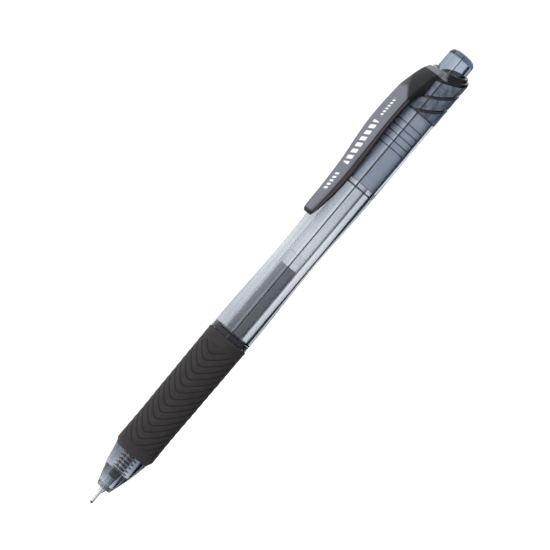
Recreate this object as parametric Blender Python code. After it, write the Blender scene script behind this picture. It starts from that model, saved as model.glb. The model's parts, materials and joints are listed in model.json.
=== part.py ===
"""Retractable gel pen, as an assembly of its separate pieces.

The pen is drawn along its own X axis. The nose's front face is x = 0, the point is at negative x, the push
button at positive x, and the clip is on the +Z side. Each outline is a list of (x, radius) in metres that is
spun round the X axis. At the end the whole pen is laid on its side, as it comes to rest on a table: on the
barrel and one edge of the clip, with the point towards the world's +X. It is shown ready to write.
"""

import math

import bmesh
import bpy
from mathutils import Matrix, Vector

MM = 0.001

# Outside of the pen, from the nose to the push button
NOSE_LENGTH = 11.1 * MM
NOSE_FRONT_RADIUS = 1.95 * MM
NOSE_BREAK_X = 6.5 * MM
NOSE_BREAK_RADIUS = 3.98 * MM
NOSE_REAR_RADIUS = 4.86 * MM
GRIP_LENGTH = 37.45 * MM
GRIP_FRONT_RADIUS = 5.48 * MM
GRIP_WAIST_RADIUS = 5.42 * MM
GRIP_REAR_RADIUS = 5.62 * MM
GRIP_BEAD = 0.05 * MM
GRIP_CHAMFER = 1.3 * MM
RING_WIDTH = 1.4 * MM
RING_RADIUS = 5.5 * MM
BARREL_LENGTH = 47.6 * MM
BARREL_FRONT_RADIUS = 5.5 * MM
BARREL_WAIST_RADIUS = 5.03 * MM
BARREL_WAIST_SHARE = 0.52
SLEEVE_LENGTH = 24.0 * MM
SLEEVE_RADIUS = 5.52 * MM
CAP_RADIUS = 5.55 * MM
CAP_LENGTH = 11.0 * MM
COLLAR_HEIGHT = 2.25 * MM
BUTTON_RADIUS = 3.7 * MM
BUTTON_SHOWN = 5.35 * MM
BUTTON_ROUNDING = 1.7 * MM

# Walls and bores
BARREL_BORE = 4.33 * MM
TUBE_CLEARANCE = 0.25 * MM
FRONT_CLEARANCE = 0.4 * MM
NOSE_HOLE = 1.25 * MM
NOSE_LIP = 1.1 * MM
NOSE_BORE = 1.9 * MM
SEAT_X = 5.7 * MM
GRIP_CORE_RADIUS = 4.75 * MM
SEAM_SPIGOT_LENGTH = 1.4 * MM
SEAM_SPIGOT_RADIUS = 4.85 * MM
CAM_TUBE_WALL = 0.5 * MM
NECK_WALL = 0.45 * MM
NECK_RISE = 1.25 * MM

# Screw joint between the front section and the barrel, a rounded moulded thread
THREAD_PITCH = 1.6 * MM
THREAD_DEPTH = 0.4 * MM
THREAD_LENGTH = 4.0 * MM
THREAD_CLEARANCE = 0.15 * MM
THREAD_MOUTH = 3.6 * MM
SPIGOT_WALL = 0.63 * MM
SPIGOT_LEAD = 1.2 * MM
STEPS_PER_PITCH = 6

# Refill
TIP_PROJECTION = 4.85 * MM
BALL_RADIUS = 0.25 * MM
BALL_SHOWN = 0.12 * MM
NEEDLE_RADIUS = 0.42 * MM
NEEDLE_BORE = 0.28 * MM
NEEDLE_LENGTH = 5.6 * MM
NEEDLE_SHOWN = 3.6 * MM
HOLDER_RADIUS = 1.05 * MM
HOLDER_LENGTH = 8.0 * MM
HOLDER_SPIGOT_LENGTH = 3.0 * MM
HOLDER_SPIGOT_RADIUS = 0.8 * MM
ADAPTER_RADIUS = 1.35 * MM
ADAPTER_TAPER = 0.2 * MM
ADAPTER_SPIGOT_LENGTH = 4.4 * MM
ADAPTER_FLANGE = 1.6 * MM
TUBE_RADIUS = 2.9 * MM
TUBE_WALL = 0.45 * MM
INK_LENGTH = 48.0 * MM
FOLLOWER_LENGTH = 4.0 * MM
PLUG_LENGTH = 3.4 * MM
PLUG_FLANGE = 1.0 * MM

# Return spring
SPRING_LENGTH = 11.6 * MM
SPRING_WIRE_RADIUS = 0.22 * MM
SPRING_CLEARANCE = 0.45 * MM
SPRING_TURNS = 11

# Click mechanism
STROKE = 5.5 * MM
OVERTRAVEL = 1.0 * MM
CAM_DEPTH = 11.2 * MM
CAM_RIBS = 4
RIB_HALF_ANGLE = math.radians(9)
RIB_HEIGHT = 0.68 * MM
FIN_HALF_ANGLE = math.radians(8)
FIN_CLEARANCE = 0.13 * MM
FIN_LENGTH = 3.9 * MM
INDEX_ANGLE = math.pi / CAM_RIBS
RAMP = 1.02 * STROKE / INDEX_ANGLE
CAM_CLEARANCE = 0.15 * MM
CAM_WALL = 1.1 * MM
CROWN_TEETH = 8
CROWN_HEIGHT = 0.9 * MM
CROWN_SETBACK = 0.3 * MM
ROTOR_RELIEF = 0.3 * MM
ROTOR_LENGTH = 5.4 * MM
THRUST_TUBE_LENGTH = 10.4 * MM
THRUST_FIN_START = 2.0 * MM
THRUST_FIN_LENGTH = 6.0 * MM
THRUST_PLUG_LENGTH = 5.5 * MM
BUTTON_BORE = 2.4 * MM
BUTTON_END_WALL = 1.6 * MM
FLANGE_WIDTH = 1.0 * MM
FLANGE_STEP = 0.25 * MM

# Slanting grooves round the back of the cap: (distance from the cap's front, lean)
CAP_GROOVES = ((3.0 * MM, 3.7 * MM), (7.3 * MM, 3.9 * MM))
GROOVE_RADIUS = 0.42 * MM
GROOVE_RAISE = 0.2 * MM
GROOVE_OFFSET = 0.19 * MM
CAP_LEAN = 2.6 * MM
RIM_LEAN = 1.65 * MM
RING_RIBS = 5
RING_RIB_PITCH = 1.82 * MM
RING_RIB_FRONT = 12.9 * MM
RING_RIB_HEIGHT = 0.06 * MM

# Clip stations: x from its free end, half width, height of its back and of its lower edges above the sleeve
CLIP_REACH = 49.85 * MM
CLIP_STATIONS = (
    (0.0, 1.25 * MM, 2.03 * MM, 1.35 * MM),
    (0.7 * MM, 1.75 * MM, 2.16 * MM, 1.26 * MM),
    (2.5 * MM, 2.0 * MM, 2.1 * MM, 0.95 * MM),
    (7.0 * MM, 2.2 * MM, 1.96 * MM, 0.31 * MM),
    (12.0 * MM, 2.45 * MM, 2.01 * MM, 0.25 * MM),
    (17.0 * MM, 2.65 * MM, 2.26 * MM, 0.54 * MM),
    (22.0 * MM, 3.0 * MM, 2.73 * MM, 1.28 * MM),
    (27.0 * MM, 3.2 * MM, 3.13 * MM, 1.9 * MM),
    (32.0 * MM, 3.2 * MM, 3.2 * MM, 1.95 * MM),
    (38.4 * MM, 3.1 * MM, 2.88 * MM, 1.37 * MM),
)
HOOD_STATIONS = (
    (0.0, 3.1 * MM, 2.85 * MM),
    (3.3 * MM, 3.1 * MM, 2.08 * MM),
    (6.3 * MM, 3.0 * MM, 1.13 * MM),
    (8.3 * MM, 2.9 * MM, 0.23 * MM),
    (9.5 * MM, 2.6 * MM, -0.52 * MM),
)
HOOD_DEPTH = 1.6 * MM
CLIP_CORNER = 0.35 * MM
CLIP_CROWN = 0.25 * MM
CLIP_WALL = 0.9 * MM
CLIP_ARCH = 0.5 * MM
HINGE_HEIGHT = 1.7 * MM

# Gaps between pieces
GAP = 0.1 * MM
SMALL_GAP = 0.04 * MM
FLEX_GAP = 0.3 * MM

# Fineness of the round pieces
ROUND = 40
SMALL_ROUND = 24

# Radii worked out from the sizes above
SPIGOT_BORE = TUBE_RADIUS + TUBE_CLEARANCE
SPIGOT_RADIUS = SPIGOT_BORE + SPIGOT_WALL
FRONT_BORE = TUBE_RADIUS + FRONT_CLEARANCE
TUBE_BORE = TUBE_RADIUS - TUBE_WALL
SPRING_MEAN_RADIUS = ADAPTER_RADIUS + ADAPTER_TAPER + SPRING_CLEARANCE + SPRING_WIRE_RADIUS
CAM_TUBE_RADIUS = BARREL_BORE - GAP
CAM_TUBE_BORE = CAM_TUBE_RADIUS - CAM_TUBE_WALL
FIN_RADIUS = CAM_TUBE_BORE - FIN_CLEARANCE
RIB_INNER_RADIUS = CAM_TUBE_BORE - RIB_HEIGHT
CAM_RADIUS = RIB_INNER_RADIUS - CAM_CLEARANCE
CAM_BORE = CAM_RADIUS - CAM_WALL
ROTOR_BODY_RADIUS = CAM_RADIUS - ROTOR_RELIEF
BUTTON_HOLE = BUTTON_RADIUS + GAP
FLANGE_RADIUS = BUTTON_RADIUS + FLANGE_STEP
CAP_BORE = FLANGE_RADIUS + GAP
NECK_RADIUS = BUTTON_HOLE + NECK_WALL

# Places along the pen, worked out from the lengths above
GRIP_FRONT = NOSE_LENGTH
GRIP_REAR = GRIP_FRONT + GRIP_LENGTH
BARREL_FRONT = GRIP_REAR + RING_WIDTH
SEAM = BARREL_FRONT + BARREL_LENGTH
CAP_FRONT = SEAM + SLEEVE_LENGTH
CAP_REAR = CAP_FRONT + CAP_LENGTH
RIM = CAP_REAR + COLLAR_HEIGHT
BUTTON_REAR = RIM + BUTTON_SHOWN
CAM_TUBE_FRONT = SEAM + SEAM_SPIGOT_LENGTH + GAP
LEDGE_X = CAP_FRONT - CAM_DEPTH
ROTOR_FIN_TOP = LEDGE_X - GAP
ROTOR_FRONT = LEDGE_X - ROTOR_LENGTH - GAP
REFILL_TAIL = ROTOR_FRONT - GAP
CROWN_BASE = ROTOR_FIN_TOP + CROWN_SETBACK
THRUST_FRONT = CROWN_BASE + CROWN_HEIGHT + 1.5 * GAP
THRUST_REAR = THRUST_FRONT + CROWN_HEIGHT + THRUST_TUBE_LENGTH
BUTTON_FRONT = THRUST_REAR + 2 * GAP
STOP_X = BUTTON_FRONT + FLANGE_WIDTH + STROKE + 2 * GAP
CAP_BORE_FRONT = BUTTON_FRONT - OVERTRAVEL - 2 * GAP
TIP_X = -TIP_PROJECTION
HOLDER_FRONT = TIP_X + NEEDLE_SHOWN
HOLDER_REAR = HOLDER_FRONT + HOLDER_LENGTH
ADAPTER_SHOULDER = SEAT_X + SPRING_LENGTH + 2 * GAP
ADAPTER_FLANGE_REAR = ADAPTER_SHOULDER + ADAPTER_FLANGE
TUBE_FRONT = ADAPTER_FLANGE_REAR + GAP
TUBE_REAR = REFILL_TAIL - PLUG_FLANGE - GAP
INK_FRONT = ADAPTER_FLANGE_REAR + ADAPTER_SPIGOT_LENGTH + GAP
INK_REAR = INK_FRONT + INK_LENGTH
CLIP_FRONT = RIM - CLIP_REACH
HINGE_X = CLIP_FRONT + CLIP_STATIONS[-1][0]
HINGE_Z = SLEEVE_RADIUS + HINGE_HEIGHT


def material(name, colour, roughness=0.3, metallic=0.0, transmission=0.0):
    made = bpy.data.materials.new(name)
    made.use_nodes = True
    shader = made.node_tree.nodes["Principled BSDF"]
    shader.inputs["Base Color"].default_value = (*colour, 1.0)
    shader.inputs["Roughness"].default_value = roughness
    shader.inputs["Metallic"].default_value = metallic
    shader.inputs["Transmission Weight"].default_value = transmission
    return made


def empty(name, x, parent=None, z=0.0):
    made = bpy.data.objects.new(name, None)
    made.empty_display_size = 5 * MM
    made.location = (x, 0.0, z)
    made.parent = parent
    bpy.context.scene.collection.objects.link(made)
    return made


def piece(name, bm, parent, origin, finish, smooth_angle=35.0):
    """Turns a bmesh drawn in the pen's own frame into an object whose origin is at origin, under parent."""
    bmesh.ops.remove_doubles(bm, verts=bm.verts, dist=0.001 * MM)
    bmesh.ops.recalc_face_normals(bm, faces=bm.faces)
    bmesh.ops.translate(bm, verts=bm.verts, vec=-Vector(origin))
    mesh = bpy.data.meshes.new(name)
    bm.to_mesh(mesh)
    bm.free()
    mesh.materials.append(finish)
    mesh.shade_smooth()
    mesh.set_sharp_from_angle(angle=math.radians(smooth_angle))
    made = bpy.data.objects.new(name, mesh)
    bpy.context.scene.collection.objects.link(made)
    made.parent = parent
    made.location = Vector(origin) - place_of(parent)
    return made


def place_of(obj):
    """Where an empty is in the pen's own frame, before the pen is laid down."""
    place = Vector((0.0, 0.0, 0.0))
    while obj is not None and obj.parent is not None:
        place += obj.location
        obj = obj.parent
    return place


def spun(outline, segments, reshape=None, closed=True):
    """A bmesh of the outline spun round the X axis. reshape(i, point) may move what came from point i."""
    bm = bmesh.new()
    station = bm.verts.layers.int.new("station")
    verts = [bm.verts.new((x, 0.0, r)) for x, r in outline]
    for i, vert in enumerate(verts):
        vert[station] = i
    ends = zip(verts, verts[1:] + verts[:1]) if closed else zip(verts, verts[1:])
    edges = [bm.edges.new(pair) for pair in ends]
    bmesh.ops.spin(
        bm,
        geom=verts + edges,
        cent=(0.0, 0.0, 0.0),
        axis=(1.0, 0.0, 0.0),
        angle=math.tau,
        steps=segments,
        use_merge=True,
    )
    if reshape is not None:
        for vert in bm.verts:
            vert.co = reshape(vert[station], vert.co.copy())
    return bm


def tube_outline(outside, inside):
    """A closed outline from the outer and the inner (x, radius) points, both listed from front to rear."""
    return list(outside) + list(reversed(inside))


def plain_tube(name, outside, inside, segments, parent, origin_x, finish):
    """A turned piece with a hole along it and nothing else."""
    return piece(name, spun(tube_outline(outside, inside), segments), parent, (origin_x, 0, 0), finish)


def at_radius(point, radius):
    """The point moved to that radius from the pen's axis."""
    turn = math.atan2(point.y, point.z)
    return Vector((point.x, radius * math.sin(turn), radius * math.cos(turn)))


def turn_of(point):
    """The angle round +X by the right-hand rule, from the clip's side."""
    return math.atan2(-point.y, point.z)


def leaning(x, lean, radius):
    """A function from z to x for a plane that leans towards the button at the back of the pen."""
    return lambda z: x - lean * z / radius


def on_plane(point, plane, ahead=0.0):
    """The point slid along X onto a leaning plane, or a little past it."""
    return Vector((plane(point.z) + ahead, point.y, point.z))


def sector(x_front, x_rear, r_inner, r_outer, middle, half_angle, steps=3, ramp_front=0.0, ramp_rear=0.0):
    """A block bent round the axis. Its ends may climb along a helix, by ramp metres for each radian."""
    bm = bmesh.new()
    corners = ((x_front, r_inner), (x_rear, r_inner), (x_rear, r_outer), (x_front, r_outer))
    verts = [bm.verts.new((x, 0.0, r)) for x, r in corners]
    face = bm.faces.new(verts)
    bmesh.ops.rotate(
        bm, verts=verts, cent=(0, 0, 0), matrix=Matrix.Rotation(middle - half_angle, 3, "X")
    )
    bmesh.ops.spin(
        bm, geom=[face], cent=(0, 0, 0), axis=(1, 0, 0), angle=2 * half_angle, steps=steps
    )
    centre_x = 0.5 * (x_front + x_rear)
    for vert in bm.verts:
        away = turn_of(vert.co) - middle
        away = (away + math.pi) % math.tau - math.pi
        vert.co.x += away * (ramp_front if vert.co.x < centre_x else ramp_rear)
    bmesh.ops.recalc_face_normals(bm, faces=bm.faces)
    return bm


def helper(name, bm, parent):
    """A solid that only serves a Boolean."""
    bmesh.ops.remove_doubles(bm, verts=bm.verts, dist=0.001 * MM)
    bmesh.ops.recalc_face_normals(bm, faces=bm.faces)
    mesh = bpy.data.meshes.new(name)
    bm.to_mesh(mesh)
    bm.free()
    made = bpy.data.objects.new(name, mesh)
    bpy.context.scene.collection.objects.link(made)
    made.parent = parent
    made.location = -place_of(parent)
    made.hide_render = True
    made.display_type = "WIRE"
    return made


def boolean(target, other, operation):
    modifier = target.modifiers.new(f"{operation.lower()} {other.name}", "BOOLEAN")
    modifier.operation = operation
    modifier.object = other
    modifier.solver = "EXACT"


def ridge(x, turn, start):
    """Height, from 0 to 1, of a rounded right-hand thread at x and at that angle round the axis."""
    return 0.5 + 0.5 * math.cos(math.tau * (x - start) / THREAD_PITCH - turn)


def thread_fade(x, start):
    """How much of the thread's height is left at x: it dies out over half a pitch at both of its ends."""
    end = start + THREAD_LENGTH
    return min(1.0, max(0.0, min(x - start, end - x) / (0.5 * THREAD_PITCH)))


def thread_stations(start):
    count = round(THREAD_LENGTH / THREAD_PITCH * STEPS_PER_PITCH)
    return [start + THREAD_LENGTH * k / count for k in range(count + 1)]


def thread_start():
    return GRIP_REAR - THREAD_MOUTH - THREAD_LENGTH


def front_barrel(parent, finish):
    """Clear nose cone and the core under the grip, in one moulding, with the thread at its rear."""
    crest = SPIGOT_RADIUS + THREAD_CLEARANCE
    root = crest + THREAD_DEPTH
    start = thread_start()
    outside = [
        (0.0, NOSE_FRONT_RADIUS - 0.2 * MM),
        (0.25 * MM, NOSE_FRONT_RADIUS),
        (NOSE_BREAK_X, NOSE_BREAK_RADIUS),
        (GRIP_FRONT - GAP, NOSE_REAR_RADIUS),
        (GRIP_FRONT - GAP, GRIP_CORE_RADIUS),
        (GRIP_REAR - GAP, GRIP_CORE_RADIUS),
    ]
    threaded = [(x, root) for x in thread_stations(start)]
    inside = [
        (0.0, NOSE_HOLE),
        (NOSE_LIP, NOSE_HOLE),
        (NOSE_LIP, NOSE_BORE),
        (SEAT_X, NOSE_BORE),
        (SEAT_X, FRONT_BORE),
        (start - SPIGOT_LEAD - 3 * GAP, FRONT_BORE),
        (start - SPIGOT_LEAD - 3 * GAP, root),
        *threaded,
        (GRIP_REAR - GAP, root),
    ]
    outline = tube_outline(outside, inside)
    first = len(outline) - 7 - len(threaded)

    def reshape(i, point):
        if not first <= i < first + len(threaded):
            return point
        rise = ridge(point.x, turn_of(point), start)
        return at_radius(point, root - THREAD_DEPTH * thread_fade(point.x, start) * (1.0 - rise))

    return piece("front_barrel", spun(outline, ROUND, reshape), parent, (0, 0, 0), finish)


def grip_outside():
    """The grip's outer (x, radius) points: a chamfered front, a slight waist, and a bead at the rear."""
    waist = GRIP_FRONT + 0.25 * GRIP_LENGTH
    swell = GRIP_FRONT + 0.83 * GRIP_LENGTH
    bead = GRIP_REAR - GAP
    return [
        (GRIP_FRONT, NOSE_REAR_RADIUS),
        (GRIP_FRONT + 0.4 * GRIP_CHAMFER, NOSE_REAR_RADIUS + 0.12 * MM),
        (GRIP_FRONT + GRIP_CHAMFER, GRIP_FRONT_RADIUS),
        (GRIP_FRONT + 2 * GRIP_CHAMFER, GRIP_FRONT_RADIUS),
        (waist, GRIP_WAIST_RADIUS),
        (0.5 * (waist + swell), 0.5 * (GRIP_WAIST_RADIUS + GRIP_REAR_RADIUS) + 0.02 * MM),
        (swell, GRIP_REAR_RADIUS),
        (bead - 1.6 * MM, GRIP_REAR_RADIUS - 0.07 * MM),
        (bead - 1.0 * MM, GRIP_REAR_RADIUS - 0.05 * MM),
        (bead - 0.7 * MM, GRIP_REAR_RADIUS + GRIP_BEAD),
        (bead - 0.3 * MM, GRIP_REAR_RADIUS + GRIP_BEAD),
        (bead, GRIP_REAR_RADIUS - 0.1 * MM),
    ]


def grip_sleeve(parent, finish):
    inner = GRIP_CORE_RADIUS + SMALL_GAP
    inside = [(GRIP_FRONT, inner), (GRIP_REAR - GAP, inner)]
    return plain_tube("grip_sleeve", grip_outside(), inside, ROUND, parent, GRIP_FRONT, finish)


def joint_ring(parent, finish):
    """Dark ring that closes the front section's rear end."""
    front, rear = GRIP_REAR, BARREL_FRONT - GAP
    inner = SPIGOT_RADIUS + THREAD_DEPTH + GAP
    outside = [
        (front, RING_RADIUS - GAP),
        (front + GAP, RING_RADIUS),
        (rear - GAP, RING_RADIUS),
        (rear, RING_RADIUS - GAP),
    ]
    inside = [(front, inner), (rear, inner)]
    return plain_tube("joint_ring", outside, inside, ROUND, parent, front, finish)


def barrel_radius(share):
    """The barrel's outer radius: it narrows to a waist about half-way along, then swells to the sleeve."""
    if share < BARREL_WAIST_SHARE:
        near, away = BARREL_FRONT_RADIUS, share / BARREL_WAIST_SHARE
    else:
        near, away = SLEEVE_RADIUS, (1.0 - share) / (1.0 - BARREL_WAIST_SHARE)
    dip = 0.5 - 0.5 * math.cos(math.pi * away)
    return near + (BARREL_WAIST_RADIUS - near) * dip


def barrel(parent, finish):
    """Clear barrel with the threaded spigot at its front and a short spigot at its rear."""
    start = thread_start()
    spigot_front = start - SPIGOT_LEAD
    threaded = [(x, SPIGOT_RADIUS) for x in thread_stations(start)]
    steps = 14
    shell = [
        (BARREL_FRONT + BARREL_LENGTH * k / steps, barrel_radius(k / steps)) for k in range(steps + 1)
    ]
    outside = [
        (spigot_front, SPIGOT_RADIUS - 0.2 * MM),
        (spigot_front + 0.3 * MM, SPIGOT_RADIUS),
        *threaded,
        (BARREL_FRONT, SPIGOT_RADIUS),
        *shell,
        (SEAM, SEAM_SPIGOT_RADIUS),
        (SEAM + SEAM_SPIGOT_LENGTH, SEAM_SPIGOT_RADIUS),
    ]
    inside = [
        (spigot_front, SPIGOT_BORE),
        (BARREL_FRONT + 0.3 * MM, SPIGOT_BORE),
        (BARREL_FRONT + 1.6 * MM, BARREL_BORE),
        (SEAM + SEAM_SPIGOT_LENGTH, BARREL_BORE),
    ]

    def reshape(i, point):
        if not 2 <= i < 2 + len(threaded):
            return point
        rise = thread_fade(point.x, start) * ridge(point.x, turn_of(point), start)
        return at_radius(point, SPIGOT_RADIUS + THREAD_DEPTH * rise)

    bm = spun(tube_outline(outside, inside), ROUND, reshape)
    return piece("barrel", bm, parent, (BARREL_FRONT, 0, 0), finish)


def upper_sleeve(parent, finish):
    """Clear sleeve between the barrel and the cap."""
    front, rear = SEAM + GAP, CAP_FRONT - GAP
    step = SEAM + SEAM_SPIGOT_LENGTH + GAP
    outside = [(front, SLEEVE_RADIUS), (rear, SLEEVE_RADIUS)]
    inside = [
        (front, SEAM_SPIGOT_RADIUS + GAP),
        (step, SEAM_SPIGOT_RADIUS + GAP),
        (step, BARREL_BORE),
        (rear, BARREL_BORE),
    ]
    return plain_tube("upper_sleeve", outside, inside, ROUND, parent, SEAM, finish)


def cap_plane():
    return leaning(CAP_REAR, CAP_LEAN, CAP_RADIUS)


def neck_plane():
    return leaning(CAP_REAR + NECK_RISE, RIM_LEAN, NECK_RADIUS)


def rim_plane():
    return leaning(RIM, RIM_LEAN, NECK_RADIUS)


def cam_tube_outside():
    """The cam tube's outer points, with the low rings that wedge it in the sleeve."""
    points = [(CAM_TUBE_FRONT, CAM_TUBE_RADIUS)]
    for k in range(RING_RIBS):
        x = SEAM + RING_RIB_FRONT + k * RING_RIB_PITCH
        half = 0.12 * RING_RIB_PITCH
        points += [
            (x - 2 * half, CAM_TUBE_RADIUS),
            (x - half, CAM_TUBE_RADIUS + RING_RIB_HEIGHT),
            (x + half, CAM_TUBE_RADIUS + RING_RIB_HEIGHT),
            (x + 2 * half, CAM_TUBE_RADIUS),
        ]
    return points


def top_housing(parent, finish):
    """Dark cap with slanting grooves round its back, and the cam tube that reaches down inside the sleeve."""
    tube = cam_tube_outside()
    outside = [
        *tube,
        (CAP_FRONT, CAM_TUBE_RADIUS),
        (CAP_FRONT, CAP_RADIUS),
        (CAP_REAR, CAP_RADIUS),
        (CAP_REAR, NECK_RADIUS),
        (CAP_REAR + NECK_RISE, NECK_RADIUS),
    ]
    inside = [
        (CAM_TUBE_FRONT, CAM_TUBE_BORE),
        (CAP_BORE_FRONT, CAM_TUBE_BORE),
        (CAP_BORE_FRONT, CAP_BORE),
        (STOP_X, CAP_BORE),
        (STOP_X, BUTTON_HOLE),
        (CAP_REAR + NECK_RISE, BUTTON_HOLE),
    ]
    leans = {len(tube) + 2: cap_plane(), len(tube) + 3: cap_plane()}
    leans.update({len(tube) + 4: neck_plane(), len(tube) + 5: neck_plane()})

    def reshape(i, point):
        return on_plane(point, leans[i]) if i in leans else point

    bm = spun(tube_outline(outside, inside), ROUND, reshape)
    made = piece("top_housing", bm, parent, (CAP_FRONT, 0, 0), finish)
    for k in range(CAM_RIBS):
        rib = sector(
            LEDGE_X,
            CAP_BORE_FRONT - 1.0 * MM,
            RIB_INNER_RADIUS,
            CAM_TUBE_BORE + 0.25 * MM,
            k * math.tau / CAM_RIBS,
            RIB_HALF_ANGLE,
            ramp_front=RAMP,
        )
        boolean(made, helper(f"cam_rib_{k + 1}", rib, parent), "UNION")
    for k, (distance, lean) in enumerate(CAP_GROOVES):
        boolean(made, groove_cutter(f"cap_groove_{k + 1}", CAP_FRONT + distance, lean, parent), "DIFFERENCE")
    return made


def groove_cutter(name, x, lean, parent):
    """A ring on a leaning plane, moved to the back so that its cut runs out before it gets under the clip."""
    bm = bmesh.new()
    around, sides = 36, 6
    slope = math.atan2(lean, CAP_RADIUS)
    circle = bmesh.ops.create_circle(bm, radius=GROOVE_RADIUS, segments=sides)["verts"]
    bmesh.ops.rotate(bm, verts=circle, cent=(0, 0, 0), matrix=Matrix.Rotation(math.pi / 2, 3, "X"))
    bmesh.ops.translate(bm, verts=circle, vec=(0, 0, (CAP_RADIUS + GROOVE_RAISE) / math.cos(slope)))
    loop = circle + list({edge for vert in circle for edge in vert.link_edges})
    bmesh.ops.spin(
        bm, geom=loop, cent=(0, 0, 0), axis=(1, 0, 0), angle=math.tau, steps=around, use_merge=True
    )
    for vert in bm.verts:
        vert.co.z = vert.co.z * math.cos(slope) + GROOVE_OFFSET
        vert.co.x += x - vert.co.z * math.tan(slope)
    return helper(name, bm, parent)


def clip_back(half_width, top):
    """The clip's back as (y, z) points, from one side to the other: a low crown with chamfered corners."""
    crown = top - CLIP_CROWN
    half = [
        (half_width, crown - CLIP_CORNER),
        (half_width - CLIP_CORNER, crown),
        (0.45 * half_width, top),
    ]
    return half + [(-y, z) for y, z in reversed(half)]


def lofted(sections):
    """A closed bmesh through cross-sections given as (x, list of (y, z) points)."""
    bm = bmesh.new()
    rings = []
    for x, section in sections:
        verts = [bm.verts.new((x, y, z)) for y, z in section]
        rings.append((verts, [bm.edges.new(pair) for pair in zip(verts, verts[1:] + verts[:1])]))
    for (_, first), (_, second) in zip(rings, rings[1:]):
        bmesh.ops.bridge_loops(bm, edges=first + second)
    for verts, _ in (rings[0], rings[-1]):
        bm.faces.new(verts)
    return bm


def arm_section(half_width, height, clearance):
    """The arm's cross-section: its back, and an underside that follows the round of the barrel."""
    reach = SLEEVE_RADIUS + clearance
    top = SLEEVE_RADIUS + height
    under = [
        (y, min(math.sqrt(reach**2 - y**2) + rise, top - 0.5 * CLIP_WALL))
        for y, rise in ((half_width, 0.0), (half_width - CLIP_WALL, 0.0), (0.3 * half_width, CLIP_ARCH))
    ]
    return clip_back(half_width, top) + [(-y, z) for y, z in under] + list(reversed(under))


def clip_arm(parent, finish):
    """Springy arm of the clip, a shallow channel that arches away from the barrel."""
    sections = [(CLIP_FRONT + x, arm_section(*sizes)) for x, *sizes in CLIP_STATIONS]
    return piece("clip_arm", lofted(sections), parent, (HINGE_X, 0, HINGE_Z), finish, 30.0)


def clip_collar(parent, finish):
    """Ring that holds the clip on the neck of the cap, with the hood that runs down into the arm."""
    lower, upper, shelf = cap_plane(), rim_plane(), neck_plane()
    levels = (
        (lambda z: lower(z) + GAP, CAP_RADIUS - 0.05 * MM),
        (lambda z: 0.55 * lower(z) + 0.45 * upper(z), CAP_RADIUS - 0.25 * MM),
        (lambda z: 0.45 * lower(z) + 0.55 * upper(z), NECK_RADIUS + 0.5 * MM),
        (lambda z: 0.1 * lower(z) + 0.9 * upper(z), NECK_RADIUS + 0.35 * MM),
        (lambda z: upper(z), NECK_RADIUS + 0.15 * MM),
        (lambda z: upper(z), BUTTON_HOLE + 0.05 * MM),
        (lambda z: shelf(z) + GAP, BUTTON_HOLE + 0.05 * MM),
        (lambda z: shelf(z) + GAP, NECK_RADIUS + GAP),
        (lambda z: lower(z) + GAP, NECK_RADIUS + GAP),
    )

    def reshape(i, point):
        point.x = levels[i][0](point.z)
        return point

    ring = spun([(CAP_REAR, radius) for _, radius in levels], ROUND, reshape)
    made = piece("clip_collar", ring, parent, (CAP_REAR, 0, 0), finish, 30.0)
    boolean(made, hood(parent), "UNION")
    return made


def hood(parent):
    """The solid between the arm's root and the collar, cut clear of the cap, the neck and the button."""
    low = SLEEVE_RADIUS - HOOD_DEPTH
    sections = [
        (HINGE_X + FLEX_GAP + x, [(wide, low)] + clip_back(wide, SLEEVE_RADIUS + height) + [(-wide, low)])
        for x, wide, height in HOOD_STATIONS
    ]
    block = helper("hood", lofted(sections), parent)
    clearing = spun(
        [
            (CAP_FRONT - 5 * MM, 0.0),
            (CAP_FRONT - 5 * MM, CAP_RADIUS + GAP),
            (CAP_REAR, CAP_RADIUS + GAP),
            (CAP_REAR, NECK_RADIUS + 1.5 * GAP),
            (RIM + 3 * MM, NECK_RADIUS + 1.5 * GAP),
            (RIM + 3 * MM, 0.0),
        ],
        ROUND,
        lambda i, point: on_plane(point, cap_plane(), 1.5 * GAP) if i in (2, 3) else point,
        closed=False,
    )
    boolean(block, helper("hood_clearing", clearing, parent), "DIFFERENCE")
    top = spun(
        [(RIM, 0.0), (RIM, 12 * MM), (RIM + 6 * MM, 12 * MM), (RIM + 6 * MM, 0.0)],
        ROUND,
        lambda i, point: on_plane(point, rim_plane(), -0.5 * GAP) if i in (0, 1) else point,
        closed=False,
    )
    boolean(block, helper("hood_top", top, parent), "DIFFERENCE")
    return block


def crown(i, point, base, height, stations):
    """Moves the vertices of the listed stations into a ring of pointed teeth."""
    if i not in stations:
        return point
    phase = (turn_of(point) * CROWN_TEETH / math.tau) % 1.0
    point.x = base + height * (1.0 - abs(2.0 * phase - 1.0))
    return point


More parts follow.
